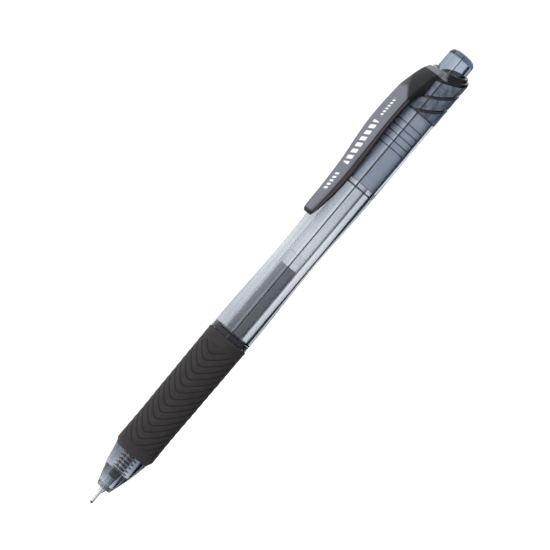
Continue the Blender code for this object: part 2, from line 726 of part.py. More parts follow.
def rotor_cam(parent, finish):
    """Turning cam: pushes the refill, and rests its fins on the ends of the ribs when the point is out."""
    fillet = 0.3 * MM
    outline = [
        (ROTOR_FRONT, 0.0),
        (ROTOR_FRONT, CAM_BORE - fillet),
        (ROTOR_FRONT + fillet, CAM_BORE),
        (ROTOR_FRONT + 1.0 * MM, CAM_BORE),
        (ROTOR_FRONT + 1.0 * MM, ROTOR_BODY_RADIUS),
        (CROWN_BASE - 0.4 * MM, ROTOR_BODY_RADIUS),
        (CROWN_BASE - 0.2 * MM, CAM_RADIUS),
        (CROWN_BASE, CAM_RADIUS),
        (CROWN_BASE, CAM_BORE),
        (CROWN_BASE - 0.6 * MM, CAM_BORE),
        (CROWN_BASE - 0.6 * MM, 0.0),
    ]
    bm = spun(
        outline,
        4 * CROWN_TEETH,
        lambda i, point: crown(i, point, CROWN_BASE, CROWN_HEIGHT, (7, 8)),
        closed=False,
    )
    made = piece("rotor_cam", bm, parent, (ROTOR_FRONT, 0, 0), finish, 30.0)
    for k in range(CAM_RIBS):
        fin = sector(
            ROTOR_FIN_TOP - FIN_LENGTH,
            ROTOR_FIN_TOP,
            ROTOR_BODY_RADIUS - 0.4 * MM,
            FIN_RADIUS,
            k * math.tau / CAM_RIBS,
            FIN_HALF_ANGLE,
            ramp_rear=RAMP,
        )
        boolean(made, helper(f"rotor_fin_{k + 1}", fin, parent), "UNION")
    return made


def thrust_cam(parent, finish):
    """Toothed tube that the button drives; its fins keep it from turning between the ribs."""
    plug = BUTTON_BORE - GAP
    outside = [
        (THRUST_FRONT, CAM_RADIUS),
        (THRUST_FRONT + CROWN_HEIGHT + 0.3 * MM, CAM_RADIUS),
        (THRUST_REAR, CAM_RADIUS),
        (THRUST_REAR, plug),
        (THRUST_REAR + THRUST_PLUG_LENGTH, plug),
    ]
    inside = [(THRUST_FRONT, CAM_BORE), (THRUST_REAR + THRUST_PLUG_LENGTH, CAM_BORE)]
    bm = spun(
        tube_outline(outside, inside),
        4 * CROWN_TEETH,
        lambda i, point: crown(i, point, THRUST_FRONT, CROWN_HEIGHT, (0, 6)),
    )
    made = piece("thrust_cam", bm, parent, (THRUST_FRONT, 0, 0), finish, 30.0)
    for k in range(CAM_RIBS):
        start = THRUST_FRONT + THRUST_FIN_START
        fin = sector(
            start,
            start + THRUST_FIN_LENGTH,
            CAM_RADIUS - 0.3 * MM,
            FIN_RADIUS,
            (k + 0.5) * math.tau / CAM_RIBS,
            FIN_HALF_ANGLE,
        )
        boolean(made, helper(f"thrust_fin_{k + 1}", fin, parent), "UNION")
    return made


def push_button(parent, finish):
    """Clear hollow button with a flange inside the cap that stops it coming out."""
    flange_rear = BUTTON_FRONT + FLANGE_WIDTH
    corner_x, corner_r = BUTTON_REAR - BUTTON_ROUNDING, BUTTON_RADIUS - BUTTON_ROUNDING
    steps = 5
    arc = [
        (
            corner_x + BUTTON_ROUNDING * math.sin(0.5 * math.pi * k / steps),
            corner_r + BUTTON_ROUNDING * math.cos(0.5 * math.pi * k / steps),
        )
        for k in range(steps + 1)
    ]
    outline = [
        (BUTTON_FRONT, FLANGE_RADIUS),
        (flange_rear, FLANGE_RADIUS),
        (flange_rear, BUTTON_RADIUS),
        *arc,
        (BUTTON_REAR, 0.0),
    ]
    hollow_rear = BUTTON_REAR - BUTTON_END_WALL
    hollow = [(hollow_rear, 0.0), (hollow_rear, BUTTON_BORE), (BUTTON_FRONT, BUTTON_BORE)]
    bm = spun(hollow + outline, ROUND, closed=False)
    return piece("push_button", bm, parent, (BUTTON_FRONT, 0, 0), finish)


def tip_ball(parent, finish):
    bm = bmesh.new()
    centre = TIP_X + BALL_RADIUS
    bmesh.ops.create_icosphere(bm, subdivisions=2, radius=BALL_RADIUS)
    bmesh.ops.translate(bm, verts=bm.verts, vec=(centre, 0, 0))
    return piece("tip_ball", bm, parent, (centre, 0, 0), finish)


def needle_pipe(parent, finish):
    """Fine steel pipe, crimped at its mouth to hold the ball."""
    front = TIP_X + BALL_SHOWN
    seat = BALL_RADIUS + SMALL_GAP
    centre = TIP_X + BALL_RADIUS
    mouth = math.sqrt(seat**2 - (centre - front) ** 2)
    rear = TIP_X + NEEDLE_LENGTH
    outside = [(front, mouth + 0.03 * MM), (front + 0.3 * MM, NEEDLE_RADIUS), (rear, NEEDLE_RADIUS)]
    inside = [
        (front, mouth),
        (centre, seat + 0.01 * MM),
        (centre + 0.4 * MM, NEEDLE_BORE),
        (rear, NEEDLE_BORE),
    ]
    return plain_tube("needle_pipe", outside, inside, SMALL_ROUND, parent, front, finish)


def ball_spring(parent, finish):
    """Hair-fine spring inside the point: its straight end presses on the ball, so that no ink leaks."""
    wire = 0.06 * MM
    coil_radius, turns, steps = 0.15 * MM, 5, 8
    pin_front = TIP_X + 2 * BALL_RADIUS + SMALL_GAP
    coil_front = TIP_X + 0.55 * NEEDLE_LENGTH
    coil_length = 0.35 * NEEDLE_LENGTH
    points = [(pin_front, 0.0, 0.0), (coil_front - 0.3 * MM, 0.0, 0.0)]
    for k in range(turns * steps + 1):
        turn = math.tau * k / steps
        x = coil_front + coil_length * k / (turns * steps)
        points.append((x, coil_radius * math.sin(turn), coil_radius * math.cos(turn)))
    return wire_piece("ball_spring", points, wire, 0, parent, (pin_front, 0, 0), finish)


def wire_piece(name, points, wire, resolution, parent, origin, finish):
    curve = bpy.data.curves.new(name, "CURVE")
    curve.dimensions = "3D"
    curve.bevel_depth = wire
    curve.bevel_resolution = resolution
    curve.use_fill_caps = True
    spline = curve.splines.new("POLY")
    spline.points.add(len(points) - 1)
    for target, point in zip(spline.points, points):
        target.co = (*(Vector(point) - Vector(origin)), 1.0)
    curve.materials.append(finish)
    made = bpy.data.objects.new(name, curve)
    bpy.context.scene.collection.objects.link(made)
    made.parent = parent
    made.location = Vector(origin) - place_of(parent)
    return made


def tip_holder(parent, finish):
    """Bright stepped holder between the needle and the adapter."""
    bore = NEEDLE_RADIUS + SMALL_GAP
    needle_rear = TIP_X + NEEDLE_LENGTH
    spigot = HOLDER_REAR - HOLDER_SPIGOT_LENGTH
    outside = [
        (HOLDER_FRONT, bore + 0.15 * MM),
        (HOLDER_FRONT + 0.6 * MM, 0.8 * HOLDER_RADIUS),
        (HOLDER_FRONT + 1.3 * MM, HOLDER_RADIUS),
        (spigot, HOLDER_RADIUS),
        (spigot, HOLDER_SPIGOT_RADIUS),
        (HOLDER_REAR, HOLDER_SPIGOT_RADIUS),
    ]
    inside = [
        (HOLDER_FRONT, bore),
        (needle_rear + SMALL_GAP, bore),
        (needle_rear + 0.4 * MM, NEEDLE_BORE),
        (HOLDER_REAR, NEEDLE_BORE),
    ]
    return plain_tube("tip_holder", outside, inside, SMALL_ROUND, parent, HOLDER_FRONT, finish)


def refill_adapter(parent, finish):
    """Joins the point to the ink tube; the spring bears on its shoulder."""
    front = HOLDER_REAR - HOLDER_SPIGOT_LENGTH + GAP
    socket = HOLDER_SPIGOT_RADIUS + SMALL_GAP
    shoulder, flange = ADAPTER_SHOULDER, TUBE_RADIUS - SMALL_GAP
    spigot = TUBE_BORE - SMALL_GAP
    outside = [
        (front, ADAPTER_RADIUS - 0.15 * MM),
        (front + 0.3 * MM, ADAPTER_RADIUS),
        (shoulder, ADAPTER_RADIUS + ADAPTER_TAPER),
        (shoulder, flange),
        (ADAPTER_FLANGE_REAR, flange),
        (ADAPTER_FLANGE_REAR, spigot),
        (ADAPTER_FLANGE_REAR + ADAPTER_SPIGOT_LENGTH, spigot - 0.1 * MM),
    ]
    inside = [
        (front, socket),
        (HOLDER_REAR + GAP, socket),
        (HOLDER_REAR + GAP, 0.6 * MM),
        (ADAPTER_FLANGE_REAR, 0.6 * MM),
        (ADAPTER_FLANGE_REAR + ADAPTER_SPIGOT_LENGTH, 1.4 * MM),
    ]
    return plain_tube("refill_adapter", outside, inside, SMALL_ROUND, parent, front, finish)


def ink_tube(parent, finish):
    outside = [(TUBE_FRONT, TUBE_RADIUS), (TUBE_REAR, TUBE_RADIUS)]
    inside = [(TUBE_FRONT, TUBE_BORE), (TUBE_REAR, TUBE_BORE)]
    return plain_tube("ink_tube", outside, inside, SMALL_ROUND, parent, TUBE_FRONT, finish)


def column(name, front, length, parent, finish, dish=0.0):
    """A filling inside the ink tube, which may have a dished rear face."""
    radius, rear = TUBE_BORE - SMALL_GAP, front + length
    outline = [(front, 0.0), (front, radius), (rear, radius), (rear - dish, 0.0)]
    return piece(name, spun(outline, SMALL_ROUND, closed=False), parent, (front, 0, 0), finish)


def gel_ink(parent, finish):
    return column("gel_ink", INK_FRONT, INK_LENGTH, parent, finish)


def ink_follower(parent, finish):
    return column("ink_follower", INK_REAR + GAP, FOLLOWER_LENGTH, parent, finish, dish=0.8 * MM)


def tail_plug(parent, finish):
    """Vented plug in the rear end of the ink tube."""
    flange_front = REFILL_TAIL - PLUG_FLANGE
    vent = 0.5 * MM
    outside = [
        (flange_front - PLUG_LENGTH, TUBE_BORE - SMALL_GAP),
        (flange_front, TUBE_BORE - SMALL_GAP),
        (flange_front, TUBE_RADIUS),
        (REFILL_TAIL - 0.3 * MM, TUBE_RADIUS),
        (REFILL_TAIL, TUBE_RADIUS - 0.3 * MM),
    ]
    inside = [(flange_front - PLUG_LENGTH, vent), (REFILL_TAIL, vent)]
    return plain_tube("tail_plug", outside, inside, SMALL_ROUND, parent, flange_front, finish)


def return_spring(parent, finish):
    """Wire spring from the seat in the nose to the adapter's shoulder, with a dead turn at each end."""
    steps = 14
    dead = 2 * SPRING_WIRE_RADIUS + 0.06 * MM
    front = SEAT_X + GAP + SPRING_WIRE_RADIUS
    span = SPRING_LENGTH - 2 * SPRING_WIRE_RADIUS
    pitch = (span - 2 * dead) / (SPRING_TURNS - 2)
    points = []
    for k in range(SPRING_TURNS * steps + 1):
        turns = k / steps
        x = front + dead * min(turns, 1.0)
        x += pitch * min(max(turns - 1.0, 0.0), SPRING_TURNS - 2.0)
        x += dead * max(turns - SPRING_TURNS + 1.0, 0.0)
        angle = math.tau * turns
        points.append((x, SPRING_MEAN_RADIUS * math.sin(angle), SPRING_MEAN_RADIUS * math.cos(angle)))
    return wire_piece("return_spring", points, SPRING_WIRE_RADIUS, 1, parent, (front, 0, 0), finish)


def finishes():
    return {
        "smoke": material("smoke_clear", (0.55, 0.6, 0.66), 0.08, transmission=0.9),
        "nose": material("nose_clear", (0.5, 0.56, 0.63), 0.08, transmission=0.9),
        "dark": material("smoke_dark", (0.12, 0.16, 0.21), 0.15, transmission=0.5),
        "button": material("button_clear", (0.45, 0.53, 0.63), 0.08, transmission=0.85),
        "clip": material("clip_plastic", (0.13, 0.13, 0.15), 0.25),
        "ring": material("ring_black", (0.03, 0.03, 0.035), 0.35),
        "rubber": material("grip_rubber", (0.035, 0.032, 0.034), 0.7),
        "steel": material("needle_steel", (0.8, 0.8, 0.8), 0.18, metallic=1.0),
        "spring": material("spring_steel", (0.75, 0.76, 0.78), 0.22, metallic=1.0),
        "carbide": material("ball_carbide", (0.25, 0.25, 0.27), 0.2, metallic=1.0),
        "adapter": material("adapter_plastic", (0.06, 0.08, 0.11), 0.3),
        "tube": material("tube_plastic", (0.75, 0.77, 0.8), 0.3, transmission=0.7),
        "ink": material("ink_black", (0.01, 0.011, 0.014), 0.15),
        "follower": material("follower_grease", (0.8, 0.8, 0.78), 0.3, transmission=0.6),
        "plug": material("plug_white", (0.8, 0.8, 0.78), 0.4),
        "cam": material("cam_plastic", (0.2, 0.22, 0.25), 0.35),
    }


def lay_down(pen):
    """Rolls the pen until it rests on its grip and one edge of the clip, and centres it on the origin."""
    _, edge_y, height, _ = max(CLIP_STATIONS, key=lambda station: math.hypot(station[1], station[2]))
    edge_z = SLEEVE_RADIUS + height - CLIP_CROWN - CLIP_CORNER
    grip = GRIP_REAR_RADIUS + GRIP_BEAD
    below = math.asin(grip / math.hypot(edge_y, edge_z)) - math.atan2(edge_y, edge_z)
    pen.rotation_euler = (-0.5 * math.pi - below, 0.0, math.pi)
    bpy.context.view_layer.update()
    shown = [obj for obj in bpy.data.objects if obj.type in ("MESH", "CURVE") and not obj.hide_render]
    graph = bpy.context.evaluated_depsgraph_get()
    corners = []
    for obj in shown:
        mesh = obj.evaluated_get(graph).to_mesh()
        corners += [obj.matrix_world @ vert.co for vert in mesh.vertices]
        obj.evaluated_get(graph).to_mesh_clear()
    low = Vector([min(point[k] for point in corners) for k in range(3)])
    high = Vector([max(point[k] for point in corners) for k in range(3)])
    pen.location = (-(low.x + high.x) / 2, -(low.y + high.y) / 2, -low.z)
    bpy.context.view_layer.update()


def build():
    for obj in list(bpy.data.objects):
        bpy.data.objects.remove(obj)
    pen = empty("pen", 0.0)
    front = empty("front_section", 0.0, pen)
    rear = empty("rear_body", BARREL_FRONT, pen)
    hinge = empty("clip_hinge", HINGE_X, pen, HINGE_Z)
    click = empty("button", BUTTON_FRONT, pen)
    refill = empty("refill", TIP_X, pen)
    rotor = empty("rotor", ROTOR_FRONT - TIP_X, refill)
    finish = finishes()
    front_barrel(front, finish["nose"])
    grip_sleeve(front, finish["rubber"])
    joint_ring(front, finish["ring"])
    return_spring(front, finish["spring"])
    barrel(rear, finish["smoke"])
    upper_sleeve(rear, finish["smoke"])
    top_housing(rear, finish["dark"])
    clip_collar(rear, finish["clip"])
    clip_arm(hinge, finish["clip"])
    push_button(click, finish["button"])
    thrust_cam(click, finish["cam"])
    rotor_cam(rotor, finish["cam"])
    tip_ball(refill, finish["carbide"])
    ball_spring(refill, finish["steel"])
    needle_pipe(refill, finish["steel"])
    tip_holder(refill, finish["steel"])
    refill_adapter(refill, finish["adapter"])
    ink_tube(refill, finish["tube"])
    gel_ink(refill, finish["ink"])
    ink_follower(refill, finish["follower"])
    tail_plug(refill, finish["plug"])
    lay_down(pen)


build()
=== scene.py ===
# %% [markdown]
# # A retractable gel pen, made to be looked at
#
# The working model of the pen is already there: every piece has its place, its size and its
# joint. This lesson makes the surface that the eye sees around that frame. Each piece is made
# again more finely, put where the frame has it, and told which body of the frame it moves with.

# %% Load the frame
import json
import math

import bmesh
import bpy
from mathutils import Matrix, Vector


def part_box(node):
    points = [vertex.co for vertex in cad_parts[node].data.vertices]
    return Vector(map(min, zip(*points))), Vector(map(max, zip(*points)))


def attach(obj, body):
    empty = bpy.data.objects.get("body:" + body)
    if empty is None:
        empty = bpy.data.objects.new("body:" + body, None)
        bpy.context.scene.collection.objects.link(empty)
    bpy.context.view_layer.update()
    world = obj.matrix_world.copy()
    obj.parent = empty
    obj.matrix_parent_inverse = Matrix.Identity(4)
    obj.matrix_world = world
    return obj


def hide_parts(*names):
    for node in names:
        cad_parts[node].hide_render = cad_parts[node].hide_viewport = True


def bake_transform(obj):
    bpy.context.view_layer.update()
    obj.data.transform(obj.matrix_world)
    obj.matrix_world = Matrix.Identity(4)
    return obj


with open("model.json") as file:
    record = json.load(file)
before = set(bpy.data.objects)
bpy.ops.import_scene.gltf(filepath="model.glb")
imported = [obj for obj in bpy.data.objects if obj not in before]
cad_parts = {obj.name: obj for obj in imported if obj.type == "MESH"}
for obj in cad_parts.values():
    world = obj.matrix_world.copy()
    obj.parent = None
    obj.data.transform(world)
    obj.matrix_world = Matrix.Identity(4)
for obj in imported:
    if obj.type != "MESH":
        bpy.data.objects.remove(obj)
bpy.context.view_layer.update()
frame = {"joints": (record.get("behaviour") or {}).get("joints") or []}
scene = bpy.context.scene
joints = {joint["name"]: joint for joint in frame["joints"]}

# %% [markdown]
# A pen is a turned thing, so it is easiest to draw along its own axis. The pen lies on a table
# and is rolled a little, so the drawing needs its own directions: x along the pen from the nose
# to the button, z towards the clip, y across. The joints give them, because the front section
# unscrews round the pen's axis and the clip flexes round a line across it. Everything is drawn in
# millimetres and put in place by one matrix.

# %% The pen's own directions
MM = 0.001
along = -Vector(joints["front_unscrew"]["axis"])
across = Vector(joints["clip_flex"]["axis"]).normalized()
towards_clip = along.cross(across)
nose = Vector(joints["front_unscrew"]["pos_m"])
turn = Matrix((along, across, towards_clip)).transposed()
PLACE = Matrix.Translation(nose) @ turn.to_4x4() @ Matrix.Scale(MM, 4)
UNPLACE = PLACE.inverted()


def span(node):
    """Where a CAD node starts and ends along the pen, in millimetres from the nose."""
    low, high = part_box(node)
    ends = [(UNPLACE @ Vector((x, nose.y, nose.z))).x for x in (low.x, high.x)]
    return min(ends), max(ends)


GRIP_FRONT, GRIP_REAR = span("grip_sleeve")
RING_FRONT, RING_REAR = span("joint_ring")
SPIGOT_FRONT, BARREL_END = span("barrel")
SEAM, CAP_FRONT = span("upper_sleeve")
BUTTON_FRONT, BUTTON_REAR = span("push_button")
CLIP_FRONT, HINGE_X = span("clip_arm")
print(f"grip {GRIP_FRONT:.2f} to {GRIP_REAR:.2f}, seam {SEAM:.2f}, button end {BUTTON_REAR:.2f} mm")

# %% [markdown]
# The camera is set first, because it decides which details matter. A long lens a good way off
# keeps the pen's sides nearly parallel. It looks at the pen from 48 degrees round the axis from
# the clip, and it is rolled so that the pen climbs to the top right with its point at the bottom
# left.

# %% Camera
VIEW_FROM_CLIP = math.radians(48)
PEN_SLOPE = math.radians(50.05)
VIEW_WIDTH = 136.7 * MM
LENS, SENSOR = 200.0, 36.0
LOOK_AT = Vector((68.03, 0.0, 0.0))
LOOK_BELOW = 1.23 * MM

facing = math.cos(VIEW_FROM_CLIP) * towards_clip - math.sin(VIEW_FROM_CLIP) * across
upwards = along.cross(facing)
right = math.cos(PEN_SLOPE) * along + math.sin(PEN_SLOPE) * upwards
up = math.sin(PEN_SLOPE) * along - math.cos(PEN_SLOPE) * upwards
target = PLACE @ LOOK_AT - LOOK_BELOW * upwards
lens = bpy.data.cameras.new("camera")
lens.lens, lens.sensor_width = LENS, SENSOR
lens.clip_start, lens.clip_end = 0.01, 50.0
camera = bpy.data.objects.new("camera", lens)
scene.collection.objects.link(camera)
camera.matrix_world = Matrix.Translation(target + facing * VIEW_WIDTH * LENS / SENSOR) @ (
    Matrix((right, up, facing)).transposed().to_4x4()
)
scene.camera = camera
print("the camera stands", round((camera.location - target).length, 3), "m from the pen")

# %% [markdown]
# Shader maths is easier to read as sums than as a web of boxes. A Wire is one socket of a
# material: adding, subtracting or multiplying it adds a Math node.

# %% A wire
class Wire:
    """A socket that gives out a number. Python's operators on it add Math nodes."""

    def __init__(self, finish, socket):
        self.finish = finish
        self.socket = socket

    def maths(self, operation, *others):
        inputs = dict(enumerate((self, *others)))
        return self.finish.node("ShaderNodeMath", {"operation": operation}, inputs)

    def __add__(self, other):
        return self.maths("ADD", other)

    __radd__ = __add__

    def __mul__(self, other):
        return self.maths("MULTIPLY", other)

    __rmul__ = __mul__

    def __sub__(self, other):
        return self.maths("SUBTRACT", other)

    def __rsub__(self, other):
        return (self * -1.0) + other

    def __truediv__(self, other):
        return self.maths("DIVIDE", other)

    def __abs__(self):
        return self.maths("ABSOLUTE")

    def __gt__(self, other):
        return self.maths("GREATER_THAN", other)

    def __lt__(self, other):
        return self.maths("LESS_THAN", other)

    def rise(self, start, end):
        """0 up to start, 1 from end on, and smooth between them."""
        return self.finish.node(
            "ShaderNodeMapRange",
            {"interpolation_type": "SMOOTHSTEP"},
            {"Value": self, "From Min": start, "From Max": end},
        )


print("a wire takes + - * / < > and abs, and can rise")

# %% [markdown]
# Any other node comes from Finish.node, which takes the node's type, then its settings, then what
# goes into its sockets. A Finish also holds the pen's own directions in millimetres, so that a
# pattern can run along the pen or round it.

# %% A finish
class Finish:
    """A material in the making, with the pen's own coordinates at hand."""

    def __init__(self, name):
        self.material = bpy.data.materials.new(name)
        self.material.use_nodes = True
        self.tree = self.material.node_tree
        self.shader = self.tree.nodes["Principled BSDF"]
        to_pen = turn.transposed()
        self.place = self.node(
            "ShaderNodeMapping",
            {"vector_type": "POINT"},
            {
                "Vector": self.node("ShaderNodeTexCoord", output="Object"),
                "Scale": (1 / MM, 1 / MM, 1 / MM),
                "Rotation": to_pen.to_euler("XYZ"),
                "Location": to_pen @ nose * (-1 / MM),
            },
        )

    def node(self, kind, settings=None, values=None, output=0):
        made = self.tree.nodes.new(kind)
        for key, value in (settings or {}).items():
            setattr(made, key, value)
        for key, value in (values or {}).items():
            self.feed(made.inputs[key], value)
        return Wire(self, made.outputs[output])

    def feed(self, socket, value):
        if isinstance(value, Wire):
            self.tree.links.new(value.socket, socket)
        elif isinstance(value, tuple) and len(socket.default_value) == 4 and len(value) == 3:
            socket.default_value = (*value, 1.0)
        else:
            socket.default_value = value

    def part_of(self, axis):
        """The pen coordinate called X, Y or Z."""
        return self.node("ShaderNodeSeparateXYZ", values={"Vector": self.place}, output=axis)

    def round_angle(self):
        """The angle round the pen from the clip, growing towards the camera's side."""
        return (self.part_of("Y") * -1.0).maths("ARCTAN2", self.part_of("Z"))

    def noise(self, scale, stretch=(1.0, 1.0, 1.0), detail=3.0):
        """A soft random pattern from 0 to 1, with scale patches to the millimetre."""
        stretched = {0: self.place, 1: stretch}
        where = self.node("ShaderNodeVectorMath", {"operation": "MULTIPLY"}, stretched)
        inputs = {"Vector": where, "Scale": scale, "Detail": detail}
        return self.node("ShaderNodeTexNoise", None, inputs)

    def mixed(self, factor, first, second):
        """A colour between two colours."""
        made = self.tree.nodes.new("ShaderNodeMix")
        made.data_type = "RGBA"
        self.feed(made.inputs["Factor"], factor)
        self.feed(made.inputs[6], first)
        self.feed(made.inputs[7], second)
        return Wire(self, made.outputs[2])

    def bump(self, height, distance, strength=1.0):
        """A normal that follows a height pattern, distance being its depth in millimetres."""
        inputs = {"Height": height, "Distance": distance * MM, "Strength": strength}
        return self.node("ShaderNodeBump", None, inputs, output="Normal")

    def set(self, **sockets):
        for name, value in sockets.items():
            self.feed(self.shader.inputs[name.replace("_", " ")], value)
        return self


print("materials are in pen millimetres, and the nose is at", [round(x, 5) for x in nose])

# %% [markdown]
# ## Clear smoky plastic
#
# The barrel, the nose and the button are moulded in clear plastic with a little grey-blue dye. It
# could be drawn as a half-transparent sheet, but then it would lack its bright and dark edges,
# which come from light that is bent and caught in the wall. So it is real glass to the renderer:
# full transmission and the plastic's own bending of light. The dye varies a little with the flow
# of the plastic, and fine rubbing from pockets makes the polish uneven. A parting line of the
# mould runs down the side, 48 degrees from the clip, on the side that faces the camera. A dark
# line of painted shade is painted along it.

# %% Clear plastic
# The parting line lies on the side that faces the camera, and the dark line painted on it is
# painted shade.
PARTING_ANGLE = VIEW_FROM_CLIP
LINE_RADIUS, LINE_HALF_WIDTH = 5.5, 0.26
ACRYLIC_IOR = 1.49
SHADE_LINE_AND_SEAM_DIRT = (0.02, 0.025, 0.035)


def painted_shade_line(finish):
    """1 on the parting line, where a dark line of painted shade goes, and 0 away from it."""
    away = abs(finish.round_angle() - PARTING_ANGLE) * LINE_RADIUS
    return 1.0 - away.rise(0.5 * LINE_HALF_WIDTH, LINE_HALF_WIDTH)


def dyed(finish, dye, strength):
    """Dye all through the plastic, so that a longer way through it is darker."""
    body = finish.node(
        "ShaderNodeVolumeAbsorption", None, {"Color": dye, "Density": strength / MM}
    )
    finish.tree.links.new(body.socket, finish.tree.nodes["Material Output"].inputs["Volume"])


def clear_plastic(name, dye, strength, line=0.0, seams=()):
    """Dyed clear plastic, with a dark line of painted shade on the parting line and dirt-dark seams
    along the pen if wanted.
    """
    finish = Finish(name)
    flow = finish.noise(0.35, (0.25, 1.0, 1.0))
    rub = finish.noise(6.0, (0.15, 1.0, 1.0), 4.0).rise(0.45, 0.8)
    surface = (0.95, 0.96, 0.98)
    deeper = tuple(0.94 * part for part in surface)
    colour = finish.mixed(flow.rise(0.3, 0.7), surface, deeper)
    if line:
        # painted shade: a dark line along the parting line, where the clear wall faces the camera
        colour = finish.mixed(painted_shade_line(finish) * line, colour, SHADE_LINE_AND_SEAM_DIRT)
    for seam in seams:
        near = 1.0 - abs(finish.part_of("X") - seam).rise(0.12, 0.24)
        colour = finish.mixed(near, colour, SHADE_LINE_AND_SEAM_DIRT)
    finish.set(
        Base_Color=colour,
        Roughness=0.02 + 0.05 * rub,
        Transmission_Weight=1.0,
        IOR=ACRYLIC_IOR,
        Normal=finish.bump(finish.noise(0.5, (0.1, 1.0, 1.0)), 0.01, 0.4),
    )
    dyed(finish, dye, strength)
    return finish.material


JOINS = (SEAM - 0.05, CAP_FRONT + 0.05, RING_REAR + 0.05)
barrel_plastic = clear_plastic("smoky_barrel_plastic", (0.30, 0.375, 0.46), 0.35, 1.0, JOINS)
sleeve_plastic = clear_plastic("smoky_sleeve_plastic", (0.25, 0.39, 0.575), 0.2, 1.0, JOINS)
nose_plastic = clear_plastic("smoky_nose_plastic", (0.30, 0.37, 0.46), 0.85)
button_plastic = clear_plastic("smoky_button_plastic", (0.28, 0.38, 0.50), 0.52, 0.9)
print("clear plastics:", barrel_plastic.name, nose_plastic.name, button_plastic.name)

# %% [markdown]
# ## How a round piece is made
#
# On the real pen almost every piece is turned or moulded round one axis. An outline spun round
# that axis is the honest way to make it, and it gives even rings of faces for smooth reflections.
# A corner can be given a rounding, because no moulded edge is perfectly sharp and a rounded edge
# catches the light.

# %% Outlines
ROUNDING_STEPS = 4


def rounded(points, closed=True):
    """The outline with each (x, radius, rounding) corner replaced by a short curve."""
    outline = []
    count = len(points)
    for i, point in enumerate(points):
        corner = Vector(point[:2])
        rounding = point[2] if len(point) > 2 else 0.0
        if rounding == 0.0 or (not closed and i in (0, count - 1)):
            outline.append(corner)
            continue
        before = (Vector(points[i - 1][:2]) - corner).normalized() * rounding
        after = (Vector(points[(i + 1) % count][:2]) - corner).normalized() * rounding
        for k in range(ROUNDING_STEPS + 1):
            t = k / ROUNDING_STEPS
            outline.append(corner + before * (1 - t) ** 2 + after * t**2)
    return outline


def tube(outside, inside):
    """A closed outline from its outer and inner points, both from front to rear."""
    return list(outside) + list(reversed(inside))


print("points in a rounded corner:", len(rounded([(0, 0), (1, 0, 0.2), (1, 1)], closed=False)) - 2)

# %% [markdown]
# The outline is then spun. A few pieces are not quite round, so each vertex may be moved
# afterwards, by its angle round the axis or by its distance from it.

# %% Turned shapes
FINE = 180


def turned(points, closed=True, steps=FINE, reshape=None):
    """The outline spun round the pen's axis. reshape(vert) may then move each vertex."""
    bm = bmesh.new()
    verts = [bm.verts.new((x, 0.0, r)) for x, r in rounded(points, closed)]
    ends = zip(verts, verts[1:] + verts[:1]) if closed else zip(verts, verts[1:])
    edges = [bm.edges.new(pair) for pair in ends]
    bmesh.ops.spin(
        bm,
        geom=verts + edges,
        cent=(0, 0, 0),
        axis=(1, 0, 0),
        angle=math.tau,
        steps=steps,
        use_merge=True,
    )
    if reshape is not None:
        for vert in bm.verts:
            reshape(vert)
    return bm


def angle_of(point):
    """The angle round the axis from the clip, growing towards the camera's side."""
    return math.atan2(-point.y, point.z)


def set_radius(vert, radius):
    angle = angle_of(vert.co)
    vert.co.y, vert.co.z = -radius * math.sin(angle), radius * math.cos(angle)


def radius_at(vert):
    return math.hypot(vert.co.y, vert.co.z)


print("a turned piece has", FINE, "faces round it")

# %% [markdown]
# A finished shape is closed and faces outwards, gets its place and its finish, and says which
# body it rides on and which pieces of the frame it stands for. A body of None leaves it riding
# on no body.

# %% Putting a piece on the pen
WELD = 0.0015


def put_on(name, bm, body, finish, slot, *nodes, sharp=38.0):
    """Puts a shape in its place on the pen, riding on its body and standing for its nodes."""
    bmesh.ops.remove_doubles(bm, verts=bm.verts, dist=WELD)
    bmesh.ops.recalc_face_normals(bm, faces=bm.faces)
    bmesh.ops.transform(bm, matrix=PLACE, verts=bm.verts)
    mesh = bpy.data.meshes.new(name)
    bm.to_mesh(mesh)
    bm.free()
    mesh.materials.append(finish)
    mesh.shade_smooth()
    mesh.set_sharp_from_angle(angle=math.radians(sharp))
    piece = bpy.data.objects.new(name, mesh)
    scene.collection.objects.link(piece)
    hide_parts(*nodes)
    if body is not None:
        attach(piece, body)
    print(f"{name}: {len(mesh.polygons)} faces, {len(mesh.vertices)} vertices")
    return piece


print("vertices closer than", WELD, "mm are welded")

# %% [markdown]
# ## Screw thread
#
# The front section screws onto the barrel with a coarse rounded thread. It can be cut with a
# Boolean, but a thread is only a ring of vertices whose radius rises and falls once in each turn,
# so the vertices of a turned piece are moved to it. The same wave serves the male and the female
# side, which is why they fit.

# %% Thread
THREAD_PITCH = 1.6
THREAD_DEPTH = 0.4
THREAD_LENGTH = 4.0
SPIGOT_LEAD = 1.2
SPIGOT_RADIUS = 3.78
THREAD_START = SPIGOT_FRONT + SPIGOT_LEAD
THREAD_PLAY = 0.15
THREAD_ROOT = SPIGOT_RADIUS + THREAD_PLAY + THREAD_DEPTH


def thread_fade(x):
    """How much of the thread is left at x. It dies out over half a pitch at both of its ends."""
    ends = min(x - THREAD_START, THREAD_START + THREAD_LENGTH - x) / (0.5 * THREAD_PITCH)
    return min(1.0, max(0.0, ends))


def thread_wave(vert):
    """Height from 0 to 1 of an endless thread where the vertex is."""
    turns = (vert.co.x - THREAD_START) / THREAD_PITCH
    return 0.5 + 0.5 * math.cos(math.tau * turns - angle_of(vert.co))


def thread_points(radius, count=32):
    return [(THREAD_START + THREAD_LENGTH * k / count, radius) for k in range(count + 1)]


def in_thread(vert, radius):
    inside = THREAD_START - 0.01 < vert.co.x < THREAD_START + THREAD_LENGTH + 0.01
    return inside and abs(radius_at(vert) - radius) < 0.01


def cut_inner_thread(vert):
    if in_thread(vert, THREAD_ROOT):
        depth = THREAD_DEPTH * thread_fade(vert.co.x) * (1.0 - thread_wave(vert))
        set_radius(vert, THREAD_ROOT - depth)


print(f"thread from {THREAD_START:.2f} to {THREAD_START + THREAD_LENGTH:.2f} mm")

